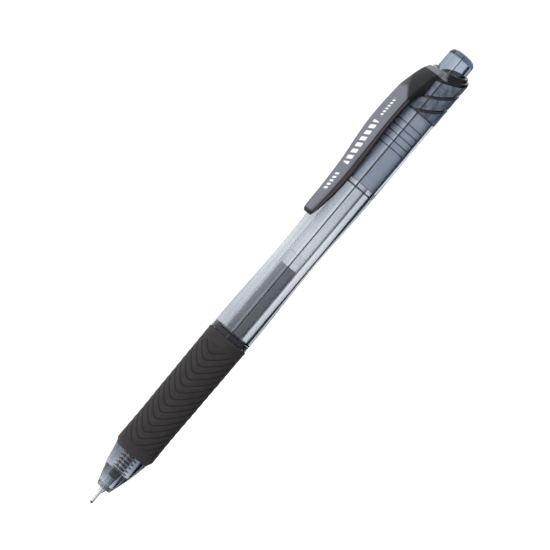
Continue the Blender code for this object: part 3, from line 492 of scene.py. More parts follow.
# %% [markdown]
# ## Nose cone
#
# The clear nose is one moulding with the core under the grip. It is a straight cone with a small
# lip round the hole for the point, a step inside that the return spring sits on, and a faint line
# where the lip begins. One closed outline gives the wall its true thickness, which the glass
# shader needs.

# %% Nose cone
NOSE_HOLE, NOSE_BORE, FRONT_BORE = 1.25, 1.9, 3.3
NOSE_LIP, SPRING_SEAT, NOSE_BREAK = 1.1, 5.7, 6.5
CORE_RADIUS = 4.75

cone_end = GRIP_FRONT - 0.1
nose_outside = [
    (0.0, NOSE_HOLE, 0.08),
    (0.0, 1.95, 0.16),
    (NOSE_LIP - 0.12, 2.27, 0.05),
    (NOSE_LIP, 2.25, 0.04),
    (NOSE_LIP + 0.12, 2.35, 0.05),
    (NOSE_BREAK, 3.98, 0.7),
    (cone_end, 4.86, 0.08),
    (cone_end, CORE_RADIUS),
    (GRIP_REAR, CORE_RADIUS, 0.1),
]
nose_inside = [
    (NOSE_LIP, NOSE_HOLE, 0.08),
    (NOSE_LIP + 0.25, NOSE_BORE, 0.15),
    (SPRING_SEAT, NOSE_BORE, 0.1),
    (SPRING_SEAT, FRONT_BORE, 0.2),
    (SPIGOT_FRONT - 0.3, FRONT_BORE),
    (SPIGOT_FRONT - 0.3, THREAD_ROOT),
    *thread_points(THREAD_ROOT),
    (GRIP_REAR, THREAD_ROOT),
]
put_on(
    "clear_nose_and_core",
    turned(tube(nose_outside, nose_inside), steps=144, reshape=cut_inner_thread),
    "front_section",
    nose_plastic,
    "nose_clear",
    "front_barrel",
)

# %% [markdown]
# ## Rubber grip
#
# The grip is a soft sleeve with rows of waves that point at the nose. A wave is a chevron wrapped
# round the pen, so along the pen it lags behind in proportion to the distance round from its tip.
# Two waves meet in a narrow valley.

# %% Grip waves
GRIP_RADII = ((1.25, 5.42), (1.7, 5.48), (9.4, 5.42), (20.3, 5.53), (31.0, 5.62))
GRIP_BORE, GRIP_SKIN = 4.79, 5.2
WAVE_PITCH, WAVE_DEPTH = 2.1, 0.2
WAVE_SHARPNESS, VALLEY_WIDTH = 0.93, 0.13
WAVE_RADIUS, WAVE_FADE = 5.5, 0.8
BODY_START, BODY_END, ROW = 1.7, 1.2, 0.2
WAVE_TIP_ANGLE = math.radians(35)
WAVE_FRONT, WAVE_REAR = GRIP_FRONT + 2.2, GRIP_REAR - 2.6


def between(stations, x):
    """Reads a smooth curve through (x, value) stations."""
    for (x0, v0), (x1, v1) in zip(stations, stations[1:]):
        if x <= x1:
            t = (x - x0) / (x1 - x0)
            return v0 + (v1 - v0) * t * t * (3 - 2 * t)
    return stations[-1][1]


def wave_lag(angle):
    """How far the chevron lags behind its tip in mm: a triangle wave with rounded corners."""
    swing = math.asin(WAVE_SHARPNESS * math.cos(2 * (angle - WAVE_TIP_ANGLE)))
    return 0.5 * WAVE_RADIUS * (math.asin(WAVE_SHARPNESS) - swing)


def wave_depth(x, angle):
    """Depth below the crest, from 0 on a crest to 1 in the narrow valley between two waves."""
    inside = min(1.0, max(0.0, min(x - WAVE_FRONT, WAVE_REAR - x) / WAVE_FADE))
    phase = ((x - wave_lag(angle)) / WAVE_PITCH) % 1.0
    return inside * (0.3 * phase + 0.7 * math.exp(-(((phase - 0.5) / VALLEY_WIDTH) ** 2)))


print("chevrons lag by up to", round(wave_lag(WAVE_TIP_ANGLE + math.pi / 2), 2), "mm")

# %% [markdown]
# The waves are shape and not only shading: the sleeve is spun with rings a fifth of a millimetre
# apart, and each vertex is then lowered by the depth of the wave under it. The depth is kept as
# an attribute of the mesh.

# %% Grip sleeve
rings = round((GRIP_REAR - BODY_END - GRIP_FRONT - BODY_START) / ROW)
places = [BODY_START + k * ROW for k in range(rings)]
body_points = [(GRIP_FRONT + x, between(GRIP_RADII, x)) for x in places]
grip_outside = [
    (GRIP_FRONT, 4.86, 0.08),
    (GRIP_FRONT + 0.4, 4.96, 0.2),
    (GRIP_FRONT + 1.3, 5.46, 0.3),
    *body_points,
    (GRIP_REAR - 0.95, 5.57),
    (GRIP_REAR - 0.75, 5.67, 0.12),
    (GRIP_REAR - 0.2, 5.67, 0.15),
    (GRIP_REAR, 5.5, 0.08),
]
grip_inside = [(GRIP_FRONT, GRIP_BORE), (GRIP_REAR, GRIP_BORE)]
grip_shape = turned(tube(grip_outside, grip_inside), steps=240)
valley = grip_shape.verts.layers.float.new("valley")
for vert in grip_shape.verts:
    radius = radius_at(vert)
    if radius > GRIP_SKIN and WAVE_FRONT < vert.co.x < WAVE_REAR:
        vert[valley] = wave_depth(vert.co.x, angle_of(vert.co))
        set_radius(vert, radius - WAVE_DEPTH * vert[valley])
print("rings of the grip:", rings)

# %% [markdown]
# The rubber is a warm black that is never quite black: it has a fine grain from the mould, a
# faint bloom on the crests where fingers rub it, and almost no shine. The attribute called valley
# paints shade into the bottoms of the waves, which makes them darker than their crests.

# %% Grip rubber
rubber = Finish("warm_black_rubber")
depth = rubber.node("ShaderNodeAttribute", {"attribute_name": "valley"}, output="Fac")
grain = rubber.noise(9.0, detail=2.0)
patches = rubber.noise(0.4).rise(0.35, 0.65)
crest_black = rubber.mixed(patches, (0.029, 0.026, 0.028), (0.037, 0.032, 0.035))
rubber.set(
    # painted shade: the valley attribute darkens the bottoms of the waves
    Base_Color=rubber.mixed(depth.rise(0.25, 0.8), crest_black, (0.013, 0.011, 0.012)),
    Roughness=0.55 + 0.2 * grain,
    Specular_IOR_Level=0.22,
    Normal=rubber.bump(grain, 0.02, 0.5),
)
put_on(
    "rubber_grip",
    grip_shape,
    "front_section",
    rubber.material,
    "grip_rubber",
    "grip_sleeve",
    sharp=60.0,
)

# %% [markdown]
# ## Joint ring
#
# A dark gloss ring closes the rear of the front section. It has a step at each side, and a thin
# bright line on its front edge.

# %% Joint ring
RING_BORE = 4.28
ring_finish = Finish("dark_ring_plastic")
cloud = ring_finish.noise(0.8)
ring_finish.set(
    Base_Color=ring_finish.mixed(cloud, (0.010, 0.012, 0.017), (0.02, 0.024, 0.033)),
    Roughness=0.1 + 0.1 * ring_finish.noise(5.0),
    Specular_IOR_Level=0.35,
)
ring_outside = [
    (RING_FRONT, 5.36, 0.05),
    (RING_FRONT + 0.12, 5.5, 0.06),
    (RING_FRONT + 0.38, 5.5, 0.05),
    (RING_FRONT + 0.45, 5.4, 0.05),
    (RING_REAR - 0.45, 5.4, 0.05),
    (RING_REAR - 0.38, 5.5, 0.05),
    (RING_REAR - 0.1, 5.5, 0.06),
    (RING_REAR, 5.4, 0.05),
]
ring_inside = [(RING_FRONT, RING_BORE, 0.1), (RING_REAR, RING_BORE, 0.1)]
put_on(
    "dark_joint_ring",
    turned(tube(ring_outside, ring_inside)),
    "front_section",
    ring_finish.material,
    "ring_black",
    "joint_ring",
)

# %% [markdown]
# ## Barrel
#
# The clear barrel is waisted: it narrows to a little over half-way and swells again to the
# sleeve. Its wall is thick at the ends and thin at the waist, because the bore is straight. In
# front it has the threaded spigot, at the rear a short step that the sleeve pushes over. The
# mould's parting line is a shallow groove.

# %% Barrel
BORE, SPIGOT_BORE = 4.33, 3.15
BARREL_FRONT = RING_REAR + 0.1
BARREL_REAR = SEAM - 0.1
WAIST_SHARE, WAIST_RADIUS, FRONT_RADIUS, SLEEVE_RADIUS = 0.52, 5.03, 5.5, 5.52
STEP_RADIUS, COUNTERBORE = 4.85, 4.95
GROOVE_DEPTH = 0.07
SHELL_STEPS = 40


def barrel_radius(share):
    """The outer radius at a share of the way along the barrel."""
    if share < WAIST_SHARE:
        near, away = FRONT_RADIUS, share / WAIST_SHARE
    else:
        near, away = SLEEVE_RADIUS, (1.0 - share) / (1.0 - WAIST_SHARE)
    return near + (WAIST_RADIUS - near) * (0.5 - 0.5 * math.cos(math.pi * away))


def parting_groove(vert):
    """A shallow groove along the parting line, on the outer skin only."""
    on_line = abs(angle_of(vert.co) - PARTING_ANGLE) < 0.5 * math.tau / FINE
    if on_line and radius_at(vert) > COUNTERBORE:
        set_radius(vert, radius_at(vert) - GROOVE_DEPTH)


def shape_barrel(vert):
    if in_thread(vert, SPIGOT_RADIUS):
        height = THREAD_DEPTH * thread_fade(vert.co.x) * thread_wave(vert)
        set_radius(vert, SPIGOT_RADIUS + height)
    parting_groove(vert)


shell_length = BARREL_REAR - BARREL_FRONT
shell = [
    (BARREL_FRONT + shell_length * k / SHELL_STEPS, barrel_radius(k / SHELL_STEPS))
    for k in range(1, SHELL_STEPS)
]
barrel_outside = [
    (SPIGOT_FRONT, SPIGOT_RADIUS - 0.15, 0.1),
    (SPIGOT_FRONT + 0.3, SPIGOT_RADIUS),
    *thread_points(SPIGOT_RADIUS),
    (BARREL_FRONT, SPIGOT_RADIUS),
    (BARREL_FRONT, FRONT_RADIUS, 0.12),
    *shell,
    (BARREL_REAR, SLEEVE_RADIUS, 0.12),
    (BARREL_REAR, STEP_RADIUS),
    (BARREL_END, STEP_RADIUS, 0.1),
]
barrel_inside = [
    (SPIGOT_FRONT, SPIGOT_BORE, 0.1),
    (BARREL_FRONT + 0.1, SPIGOT_BORE, 0.1),
    (BARREL_FRONT + 0.35, BORE, 0.15),
    (BARREL_END, BORE, 0.1),
]
put_on(
    "clear_barrel",
    turned(tube(barrel_outside, barrel_inside), reshape=shape_barrel),
    "rear_body",
    barrel_plastic,
    "barrel_clear",
    "barrel",
)

# %% [markdown]
# ## Upper sleeve
#
# The sleeve carries on the barrel's line up to the cap. It is a plain tube with a counterbore
# that takes the barrel's step, and its two ends are lightly rounded so that the seams read as
# fine dark lines.

# %% Upper sleeve
sleeve_outside = [(SEAM, SLEEVE_RADIUS, 0.12), (CAP_FRONT, SLEEVE_RADIUS, 0.12)]
sleeve_inside = [
    (SEAM, COUNTERBORE, 0.05),
    (BARREL_END + 0.1, COUNTERBORE, 0.05),
    (BARREL_END + 0.1, BORE, 0.05),
    (CAP_FRONT, BORE, 0.05),
]
put_on(
    "clear_upper_sleeve",
    turned(tube(sleeve_outside, sleeve_inside), reshape=parting_groove),
    "rear_body",
    sleeve_plastic,
    "barrel_clear",
    "upper_sleeve",
)

# %% [markdown]
# ## Cap and cam tube
#
# The dark cap has slanting grooves round its back, and it reaches down inside the sleeve as a
# tube with ring-shaped ribs outside and four cam ribs inside. The cap's ends lean, so their rings
# of vertices are slid along the pen onto leaning planes.

# %% Cap sizes
CAM_TUBE_FRONT = span("top_housing")[0]
CAM_TUBE_RADIUS, CAM_TUBE_BORE = 4.23, 3.73
CAP_START = CAP_FRONT + 0.1
CAP_REAR = CAP_START + 11.0
CAP_RADIUS, NECK_RADIUS, BUTTON_HOLE, CAP_BORE = 5.55, 4.25, 3.8, 4.05
CAP_LEAN, RIM_LEAN = 2.6, 1.65
NECK_END = CAP_REAR + 1.25
RIM = CAP_REAR + 2.25
STROKE = 5.5
BORE_STEP = BUTTON_FRONT - 1.2
FLANGE_WIDTH = 1.0
STOP = BUTTON_FRONT + FLANGE_WIDTH + STROKE + 0.2


def leaning(x, lean, radius):
    """A function from z to x, for a plane that leans to the button at the pen's back."""
    return lambda z: x - lean * z / radius


cap_plane = leaning(CAP_REAR, CAP_LEAN, CAP_RADIUS)
neck_plane = leaning(NECK_END, RIM_LEAN, NECK_RADIUS)
rim_plane = leaning(RIM, RIM_LEAN, NECK_RADIUS)
print(f"cap from {CAP_START:.2f} to {CAP_REAR:.2f} mm, and the collar's rim at {RIM:.2f} mm")

# %% [markdown]
# Where two solids really are one moulding, such as ribs in a tube, they are drawn apart and
# united by a Boolean. The modifier is read back at once, so that the finished piece is a plain
# mesh.

# %% Solids that are cut or joined
def solid(bm):
    """A bare object made from a bmesh, for a Boolean."""
    bmesh.ops.remove_doubles(bm, verts=bm.verts, dist=WELD)
    bmesh.ops.recalc_face_normals(bm, faces=bm.faces)
    mesh = bpy.data.meshes.new("solid")
    bm.to_mesh(mesh)
    bm.free()
    made = bpy.data.objects.new("solid", mesh)
    scene.collection.objects.link(made)
    return made


def worked(bm, steps):
    """The bmesh after each (operation, other bmesh) has been done to it."""
    base = solid(bm)
    others = []
    for operation, other in steps:
        others.append(solid(other))
        modifier = base.modifiers.new(operation, "BOOLEAN")
        modifier.operation = operation
        modifier.object = others[-1]
        modifier.solver = "EXACT"
    bpy.context.view_layer.update()
    result = bmesh.new()
    result.from_object(base, bpy.context.evaluated_depsgraph_get())
    print(f"{len(steps)} Boolean steps: {len(base.data.polygons)} to {len(result.faces)} faces")
    for done in (base, *others):
        bpy.data.objects.remove(done)
    return result


# %% [markdown]
# Inside the tube, four ribs catch the turning cam and hold the point out. A rib is a block bent
# round the axis. Its front end climbs along a helix, and the fins of the cam slide off it along
# the same helix.

# %% Cam ribs
CAM_RIBS, RIB_REACH = 4, 3.05
LEDGE = CAP_START - 11.2
RAMP = 1.02 * STROKE / (math.pi / CAM_RIBS)


def sector(x_front, x_rear, inner, outer, middle, half_angle, ramp_front=0.0, ramp_rear=0.0):
    """A block bent round the axis, whose ends may climb along a helix."""
    bm = bmesh.new()
    corners = ((x_front, inner), (x_rear, inner), (x_rear, outer), (x_front, outer))
    face = bm.faces.new([bm.verts.new((x, 0.0, r)) for x, r in corners])
    to_start = Matrix.Rotation(middle - half_angle, 3, "X")
    bmesh.ops.rotate(bm, verts=bm.verts, cent=(0, 0, 0), matrix=to_start)
    bmesh.ops.spin(
        bm, geom=[face], cent=(0, 0, 0), axis=(1, 0, 0), angle=2 * half_angle, steps=6
    )
    centre = 0.5 * (x_front + x_rear)
    for vert in bm.verts:
        away = (angle_of(vert.co) - middle + math.pi) % math.tau - math.pi
        vert.co.x += away * (ramp_front if vert.co.x < centre else ramp_rear)
    return bm


cam_ribs = []
for k in range(CAM_RIBS):
    middle = k * math.tau / CAM_RIBS
    root = CAM_TUBE_BORE + 0.25
    cam_ribs.append(
        sector(LEDGE, BORE_STEP - 1.0, RIB_REACH, root, middle, math.radians(9), RAMP)
    )
print(f"{CAM_RIBS} ribs, whose helix climbs {RAMP:.2f} mm for each radian")

# %% [markdown]
# The slanting grooves are cut by leaning rings with a round section. They stand a little off-
# centre, which makes each groove run out before it gets under the clip.

# %% Slanting grooves
GROOVES = ((3.0, 3.7), (7.3, 3.9))
CUTTER_RADIUS, CUTTER_RAISED, CUTTER_OFFSET = 0.62, 0.2, 0.24


def groove_ring(x, lean):
    """A leaning ring with a round section, moved off-centre, that cuts one groove."""
    bm = bmesh.new()
    circle = bmesh.ops.create_circle(bm, radius=CUTTER_RADIUS, segments=16)["verts"]
    upright = Matrix.Rotation(math.pi / 2, 3, "X")
    bmesh.ops.rotate(bm, verts=circle, cent=(0, 0, 0), matrix=upright)
    bmesh.ops.translate(bm, verts=circle, vec=(0, 0, CAP_RADIUS + CUTTER_RAISED))
    loop = bm.verts[:] + bm.edges[:]
    bmesh.ops.spin(
        bm, geom=loop, cent=(0, 0, 0), axis=(1, 0, 0), angle=math.tau, steps=96, use_merge=True
    )
    for vert in bm.verts:
        vert.co.z += CUTTER_OFFSET
        vert.co.x += x - lean * vert.co.z / CAP_RADIUS
    return bm


grooves = [groove_ring(CAP_START + x, lean) for x, lean in GROOVES]
print("grooves:", len(grooves), "about", round(2 * CUTTER_RADIUS, 1), "mm wide")

# %% [markdown]
# The outline runs from the tube's front end to the cap's neck. Five low ribs go round the tube
# where it shows through the clear sleeve.

# %% Cap and cam tube
RING_RIBS, RIB_PITCH, RIB_HEIGHT = 5, 1.82, 0.06
FIRST_RIB = BARREL_REAR + 12.9

ring_ribs = []
for k in range(RING_RIBS):
    middle, crest = FIRST_RIB + k * RIB_PITCH, CAM_TUBE_RADIUS + RIB_HEIGHT
    ring_ribs += [
        (middle - 0.42, CAM_TUBE_RADIUS),
        (middle - 0.2, crest, 0.06),
        (middle + 0.2, crest, 0.06),
        (middle + 0.42, CAM_TUBE_RADIUS),
    ]
housing_outside = [
    (CAM_TUBE_FRONT, CAM_TUBE_RADIUS, 0.1),
    *ring_ribs,
    (CAP_START, CAM_TUBE_RADIUS),
    (CAP_START, CAP_RADIUS, 0.12),
    (CAP_REAR, CAP_RADIUS, 0.12),
    (CAP_REAR, NECK_RADIUS),
    (NECK_END, NECK_RADIUS),
]
housing_inside = [
    (CAM_TUBE_FRONT, CAM_TUBE_BORE, 0.1),
    (BORE_STEP, CAM_TUBE_BORE),
    (BORE_STEP, CAP_BORE),
    (STOP, CAP_BORE),
    (STOP, BUTTON_HOLE),
    (NECK_END, BUTTON_HOLE),
]


def lean_cap(vert):
    parting_groove(vert)
    if vert.co.x > CAP_REAR + 0.5:
        vert.co.x += neck_plane(vert.co.z) - NECK_END
    elif vert.co.x > CAP_REAR - 0.3:
        vert.co.x += cap_plane(vert.co.z) - CAP_REAR


housing_shape = worked(
    turned(tube(housing_outside, housing_inside), reshape=lean_cap),
    [("UNION", rib) for rib in cam_ribs] + [("DIFFERENCE", groove) for groove in grooves],
)

# %% [markdown]
# The housing is a deeper, cloudy slate blue. Light only gets a little way into it, so its
# mechanism is hidden. Outside, the cap looks darker than the tube because it is thicker. Its
# grooves are painted almost black as painted shade, the crests of the tube's ring ribs carry
# painted dark lines of shade, and the dark line of painted shade along the parting line runs over
# the cap.

# %% Housing finish
def window(value, start, end):
    return (value > start) * (value < end)


housing = Finish("cloudy_slate_plastic")
x, y, z = (housing.part_of(axis) for axis in "XYZ")
from_axis = (y * y + z * z).maths("SQRT")
on_cap = x.rise(CAP_START - 0.2, CAP_START)
below_skin = 1.0 - from_axis.rise(CAP_RADIUS - 0.16, CAP_RADIUS - 0.04)
# painted shade: the mask of the grooves, which are painted almost black
groove_shade = on_cap * below_skin * from_axis.rise(4.5, 4.6)
mottle = housing.noise(0.9, (0.6, 1.0, 1.0)).rise(0.35, 0.65)
tube_blue = housing.mixed(mottle, (0.74, 0.83, 0.97), (0.82, 0.9, 0.99))
ribs_start = FIRST_RIB - 0.5 * RIB_PITCH
# painted shade: dark lines on the crests of the ring ribs, where they show through the sleeve
rib_shade_line = 1.0 - abs(((x - ribs_start) / RIB_PITCH).maths("FRACT") - 0.5).rise(0.06, 0.12)
rib_shade_line = rib_shade_line * window(x, ribs_start, ribs_start + RING_RIBS * RIB_PITCH)
tube_blue = housing.mixed(rib_shade_line, tube_blue, (0.1, 0.13, 0.19))
cap_blue = housing.mixed(mottle, (0.055, 0.073, 0.105), (0.135, 0.17, 0.235))
slate = housing.mixed(on_cap, tube_blue, cap_blue)
# painted shade down in the grooves
slate = housing.mixed(groove_shade, slate, (0.006, 0.008, 0.012))
# painted shade: the dark line along the parting line runs over the cap too
slate = housing.mixed(painted_shade_line(housing) * on_cap, slate, (0.01, 0.012, 0.018))
housing.set(
    Base_Color=slate,
    Roughness=0.16 + 0.1 * housing.noise(3.0),
    Transmission_Weight=0.06,
    IOR=ACRYLIC_IOR,
    Normal=housing.bump(housing.noise(0.7), 0.02, 0.4),
)
put_on(
    "cap_and_cam_tube",
    housing_shape,
    "rear_body",
    housing.material,
    "housing_dark",
    "top_housing",
    sharp=30.0,
)

# %% [markdown]
# ## Clip
#
# The clip is one moulding on the real pen: a springy arm, a hood that runs down onto the cap, and
# a collar round the neck. The arm and the hood are cross-sections bridged one after another,
# which follows a shape that changes all along its length. The collar is turned, and the two are
# united. Only the arm flexes on the real pen; here the finished clip rides on no body and is baked
# in place.

# %% [markdown]
# Each row of the table is one place along the clip: how far it is from the clip's front end, half
# the clip's width there, how high its top stands above the sleeve, and how far its underside
# stays clear of the sleeve. A smooth curve through the rows gives the sizes in between.

# %% Clip sections
CLIP_STATIONS = (
    (0.0, 1.2, 2.0, 1.4),
    (0.25, 1.5, 2.1, 1.3),
    (0.7, 1.75, 2.16, 1.26),
    (2.5, 2.0, 2.1, 0.95),
    (7.0, 2.2, 1.96, 0.31),
    (12.0, 2.45, 2.01, 0.25),
    (17.0, 2.65, 2.26, 0.54),
    (22.0, 3.0, 2.73, 1.28),
    (27.0, 3.2, 3.13, 1.9),
    (32.0, 3.2, 3.2, 1.95),
    (38.4, 3.1, 2.88, 1.37),
    (39.6, 3.1, 2.7, 0.6),
    (41.7, 3.1, 2.08, -0.6),
    (44.7, 3.0, 1.13, -1.6),
    (46.7, 2.9, 0.23, -1.6),
    (47.9, 2.6, -0.52, -1.6),
)
CROWN, CORNER, WALL, ARCH = 0.25, 0.3, 0.85, 0.5
CHAMFER_RISE, CHAMFER_IN = 0.75, 0.2
LOWEST = 2.0


def catmull(stations, x, k):
    """Reads column k of the stations at x along a curve that passes smoothly through them."""
    i = max(n for n in range(len(stations) - 1) if stations[n][0] <= x or n == 0)
    p1, p2 = stations[i], stations[i + 1]
    p0 = stations[i - 1] if i > 0 else p1
    p3 = stations[i + 2] if i + 2 < len(stations) else p2
    width = p2[0] - p1[0]
    t = (x - p1[0]) / width
    slope1 = (p2[k] - p0[k]) / (p2[0] - p0[0]) * width
    slope2 = (p3[k] - p1[k]) / (p3[0] - p1[0]) * width
    a, b = 2 * t**3 - 3 * t**2 + 1, t**3 - 2 * t**2 + t
    return a * p1[k] + b * slope1 + (1 - a) * p2[k] + (t**3 - t**2) * slope2


def under_height(reach, y):
    """Height of the clip's underside at y, on a circle round the pen's axis."""
    return math.sqrt(max(reach**2 - y**2, LOWEST**2))


def clip_section(wide, height, clearance):
    """Points (y, z) of a section: a low crown, round corners, a chamfer and a hollow below."""
    top = SLEEVE_RADIUS + height
    shoulder = top - CROWN
    reach = SLEEVE_RADIUS + clearance
    edge = min(under_height(reach, wide) + CHAMFER_RISE, shoulder - 2 * CORNER - 0.05)
    half = [(wide, edge), (wide, shoulder - 2 * CORNER)]
    for k in range(5):
        a = 0.5 * math.pi * k / 4
        y = wide - CORNER + CORNER * math.cos(a)
        half.append((y, shoulder - CORNER + CORNER * math.sin(a)))
    for k in range(1, 7):
        y = (wide - CORNER) * (1 - k / 6)
        half.append((y, shoulder + CROWN * (1 - (y / (wide - CORNER)) ** 2)))
    back = half + [(-y, z) for y, z in reversed(half[:-1])]
    ceiling = top - 0.9 * WALL
    under = []
    first = (wide - CHAMFER_IN) / wide
    for share, rise in ((first, 0.0), (0.72, 0.0), (0.6, 0.5), (0.4, 0.9), (0.2, 1.0)):
        y = wide * share
        under.append((y, min(under_height(reach, y) + ARCH * rise, ceiling)))
    middle = (0.0, min(reach + ARCH, ceiling))
    return back + [(-y, z) for y, z in under] + [middle] + under[::-1]


def loft(sections):
    """A closed bmesh through cross-sections given as (x, points)."""
    bm = bmesh.new()
    rings = []
    for x, section in sections:
        verts = [bm.verts.new((x, y, z)) for y, z in section]
        rings.append((verts, [bm.edges.new(pair) for pair in zip(verts, verts[1:] + verts[:1])]))
    for (_, first), (_, second) in zip(rings, rings[1:]):
        bmesh.ops.bridge_loops(bm, edges=first + second)
    for verts, _ in (rings[0], rings[-1]):
        bm.faces.new(verts)
    return bm


tip, length = 0.7, CLIP_STATIONS[-1][0]
places = [0.0, 0.08, 0.25, 0.45] + [tip + (length - tip) * k / 64 for k in range(65)]
sections = []
for x in places:
    sizes = [catmull(CLIP_STATIONS, x, k) for k in (1, 2, 3)]
    sections.append((CLIP_FRONT + x, clip_section(*sizes)))
arm_shape = loft(sections)
print("clip sections:", len(places))

# %% [markdown]
# The collar sits on the cap's leaning shoulder and ends in a leaning rim. It is turned as a row
# of levels, and every level is then slid onto its own leaning plane. A level has the plane it
# starts from, its share of the way from there to the rim's plane, how far ahead of that it
# stands, and its radius.

# %% Collar
COLLAR_LEVELS = (
    (cap_plane, 0.0, 0.1, CAP_RADIUS - 0.05),
    (cap_plane, 0.0, 0.25, CAP_RADIUS - 0.02),
    (cap_plane, 0.45, 0.0, CAP_RADIUS - 0.25),
    (cap_plane, 0.55, 0.0, NECK_RADIUS + 0.5),
    (cap_plane, 0.9, 0.0, NECK_RADIUS + 0.35),
    (cap_plane, 0.97, 0.0, NECK_RADIUS + 0.28),
    (cap_plane, 1.0, 0.0, NECK_RADIUS + 0.15),
    (cap_plane, 1.0, 0.0, BUTTON_HOLE + 0.05),
    (neck_plane, 0.0, 0.1, BUTTON_HOLE + 0.05),
    (neck_plane, 0.0, 0.1, NECK_RADIUS + 0.1),
    (cap_plane, 0.0, 0.1, NECK_RADIUS + 0.1),
)


def lean_collar(vert):
    plane, share, ahead, _ = COLLAR_LEVELS[round(vert.co.x)]
    z = vert.co.z
    vert.co.x = (1.0 - share) * plane(z) + share * rim_plane(z) + ahead


collar_outline = [(k, level[3]) for k, level in enumerate(COLLAR_LEVELS)]
collar = turned(collar_outline, steps=128, reshape=lean_collar)
print("collar levels:", len(COLLAR_LEVELS))

# %% [markdown]
# Two turned blocks clear the room of the cap and the neck out of the clip, and cut it off level
# with the rim.

# %% Clip shape
def onto_plane(plane, ahead, limit):
    """A reshape that slides the vertices between two limits of x onto a leaning plane."""

    def reshape(vert):
        if limit[0] < vert.co.x < limit[1]:
            vert.co.x = plane(vert.co.z) + ahead

    return reshape


clearing = turned(
    [
        (CAP_START - 2.2, 0.0),
        (CAP_START - 2.2, CAP_RADIUS + 0.1),
        (CAP_REAR, CAP_RADIUS + 0.1),
        (CAP_REAR, NECK_RADIUS + 0.15),
        (RIM + 3.0, NECK_RADIUS + 0.15),
        (RIM + 3.0, 0.0),
    ],
    closed=False,
    steps=128,
    reshape=onto_plane(cap_plane, 0.15, (CAP_REAR - 0.1, CAP_REAR + 0.1)),
)
above = turned(
    [(RIM, 0.0), (RIM, 12.0), (RIM + 6.0, 12.0), (RIM + 6.0, 0.0)],
    closed=False,
    steps=64,
    reshape=onto_plane(rim_plane, -0.05, (RIM - 0.1, RIM + 0.1)),
)
clip_shape = worked(
    arm_shape, [("DIFFERENCE", clearing), ("DIFFERENCE", above), ("UNION", collar)]
)

# %% [markdown]
# The clip is a dark grey gloss plastic. Its flat top carries a white print. Here that print is
# only three rows of plain slanted dashes, which fill the same space and say nothing. The dashes
# are a repeating ramp along the clip, cut off by a window, and they only show where the surface
# faces outwards. The way the surface faces also sets painted light and shade on the one plastic:
# a lighter top that darkens towards its corners, a dark outline where it turns, a brown side and
# a black edge below it. The hood's facets near the root are painted dark, the end facet light and
# the front tip near black, all as painted light and shade.

# %% Clip finish
clip_finish = Finish("dark_grey_clip_plastic")
x, y = clip_finish.part_of("X"), clip_finish.part_of("Y")


def dashes(start, end, pitch, fill, height):
    """A run of slanted dashes along the clip between two places."""
    ramp = ((x + 0.35 * y) / pitch).maths("FRACT")
    return window(x, start, end) * (ramp < fill) * window(y, -0.5 * height, 0.5 * height)


printed = dashes(92.0, 97.6, 1.1, 0.55, 1.2) + dashes(100.4, 113.4, 1.85, 0.6, 2.0)
printed = printed + dashes(114.8, 120.6, 0.9, 0.5, 0.9)
faces_to = clip_finish.node("ShaderNodeNewGeometry", output="Normal")
outward = clip_finish.node(
    "ShaderNodeVectorMath",
    {"operation": "DOT_PRODUCT"},
    {0: faces_to, 1: tuple(towards_clip)},
    output="Value",
)
ink_mask = printed * (outward > 0.8)
cloud = clip_finish.noise(0.35, (0.3, 1.0, 1.0))
face = clip_finish.mixed(cloud, (0.135, 0.148, 0.18), (0.19, 0.205, 0.245))
# painted shade: the top face darkens where it turns towards its corners
face = clip_finish.mixed(outward.rise(0.955, 0.99), (0.05, 0.055, 0.068), face)
# painted shade: the side is a darker brown, and below it the edge and the underside are black
side = clip_finish.mixed(cloud, (0.075, 0.055, 0.055), (0.11, 0.085, 0.085))
shade = clip_finish.mixed(outward.rise(-0.2, -0.1), (0.004, 0.0045, 0.006), side)
# painted shade: a dark outline where the side turns into the top
shade = clip_finish.mixed(outward.rise(0.25, 0.4), shade, (0.02, 0.022, 0.028))
shade = clip_finish.mixed(outward.rise(0.86, 0.95), shade, face)
# painted shade: the hood's facets near the root are painted near black
hood_shade_mask = (x - y).rise(HINGE_X + 1.0, HINGE_X + 2.4) * 0.97
hood_painted_shade = clip_finish.mixed(cloud, (0.004, 0.0045, 0.006), (0.014, 0.016, 0.022))
shade = clip_finish.mixed(hood_shade_mask, shade, hood_painted_shade)
# painted light: the end facet behind the rim is painted a lighter grey
end_facet_light = x.rise(HINGE_X + 8.1, HINGE_X + 8.4) * clip_finish.part_of("Z").rise(2.8, 3.6)
shade = clip_finish.mixed(end_facet_light, shade, (0.17, 0.18, 0.2))
# painted shade: the rounded front tip is painted near black
behind_tip = x.rise(CLIP_FRONT + 0.5, CLIP_FRONT + 1.5)
shade = clip_finish.mixed(behind_tip, (0.012, 0.014, 0.02), shade)
clip_finish.set(
    Base_Color=clip_finish.mixed(ink_mask, shade, (0.85, 0.86, 0.88)),
    Roughness=0.18 + 0.12 * clip_finish.noise(4.0, (0.2, 1.0, 1.0)) + 0.2 * ink_mask,
    Specular_IOR_Level=0.16,
    Coat_Weight=0.06,
)
clip = put_on(
    "springy_clip",
    clip_shape,
    None,
    clip_finish.material,
    "clip_plastic",
    "clip_arm",
    "clip_collar",
    sharp=32.0,
)
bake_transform(clip)

# %% [markdown]
# ## Push button
#
# The button is a clear cup with a thick end wall and a broad rounding. A flange inside the cap
# keeps it from falling out.

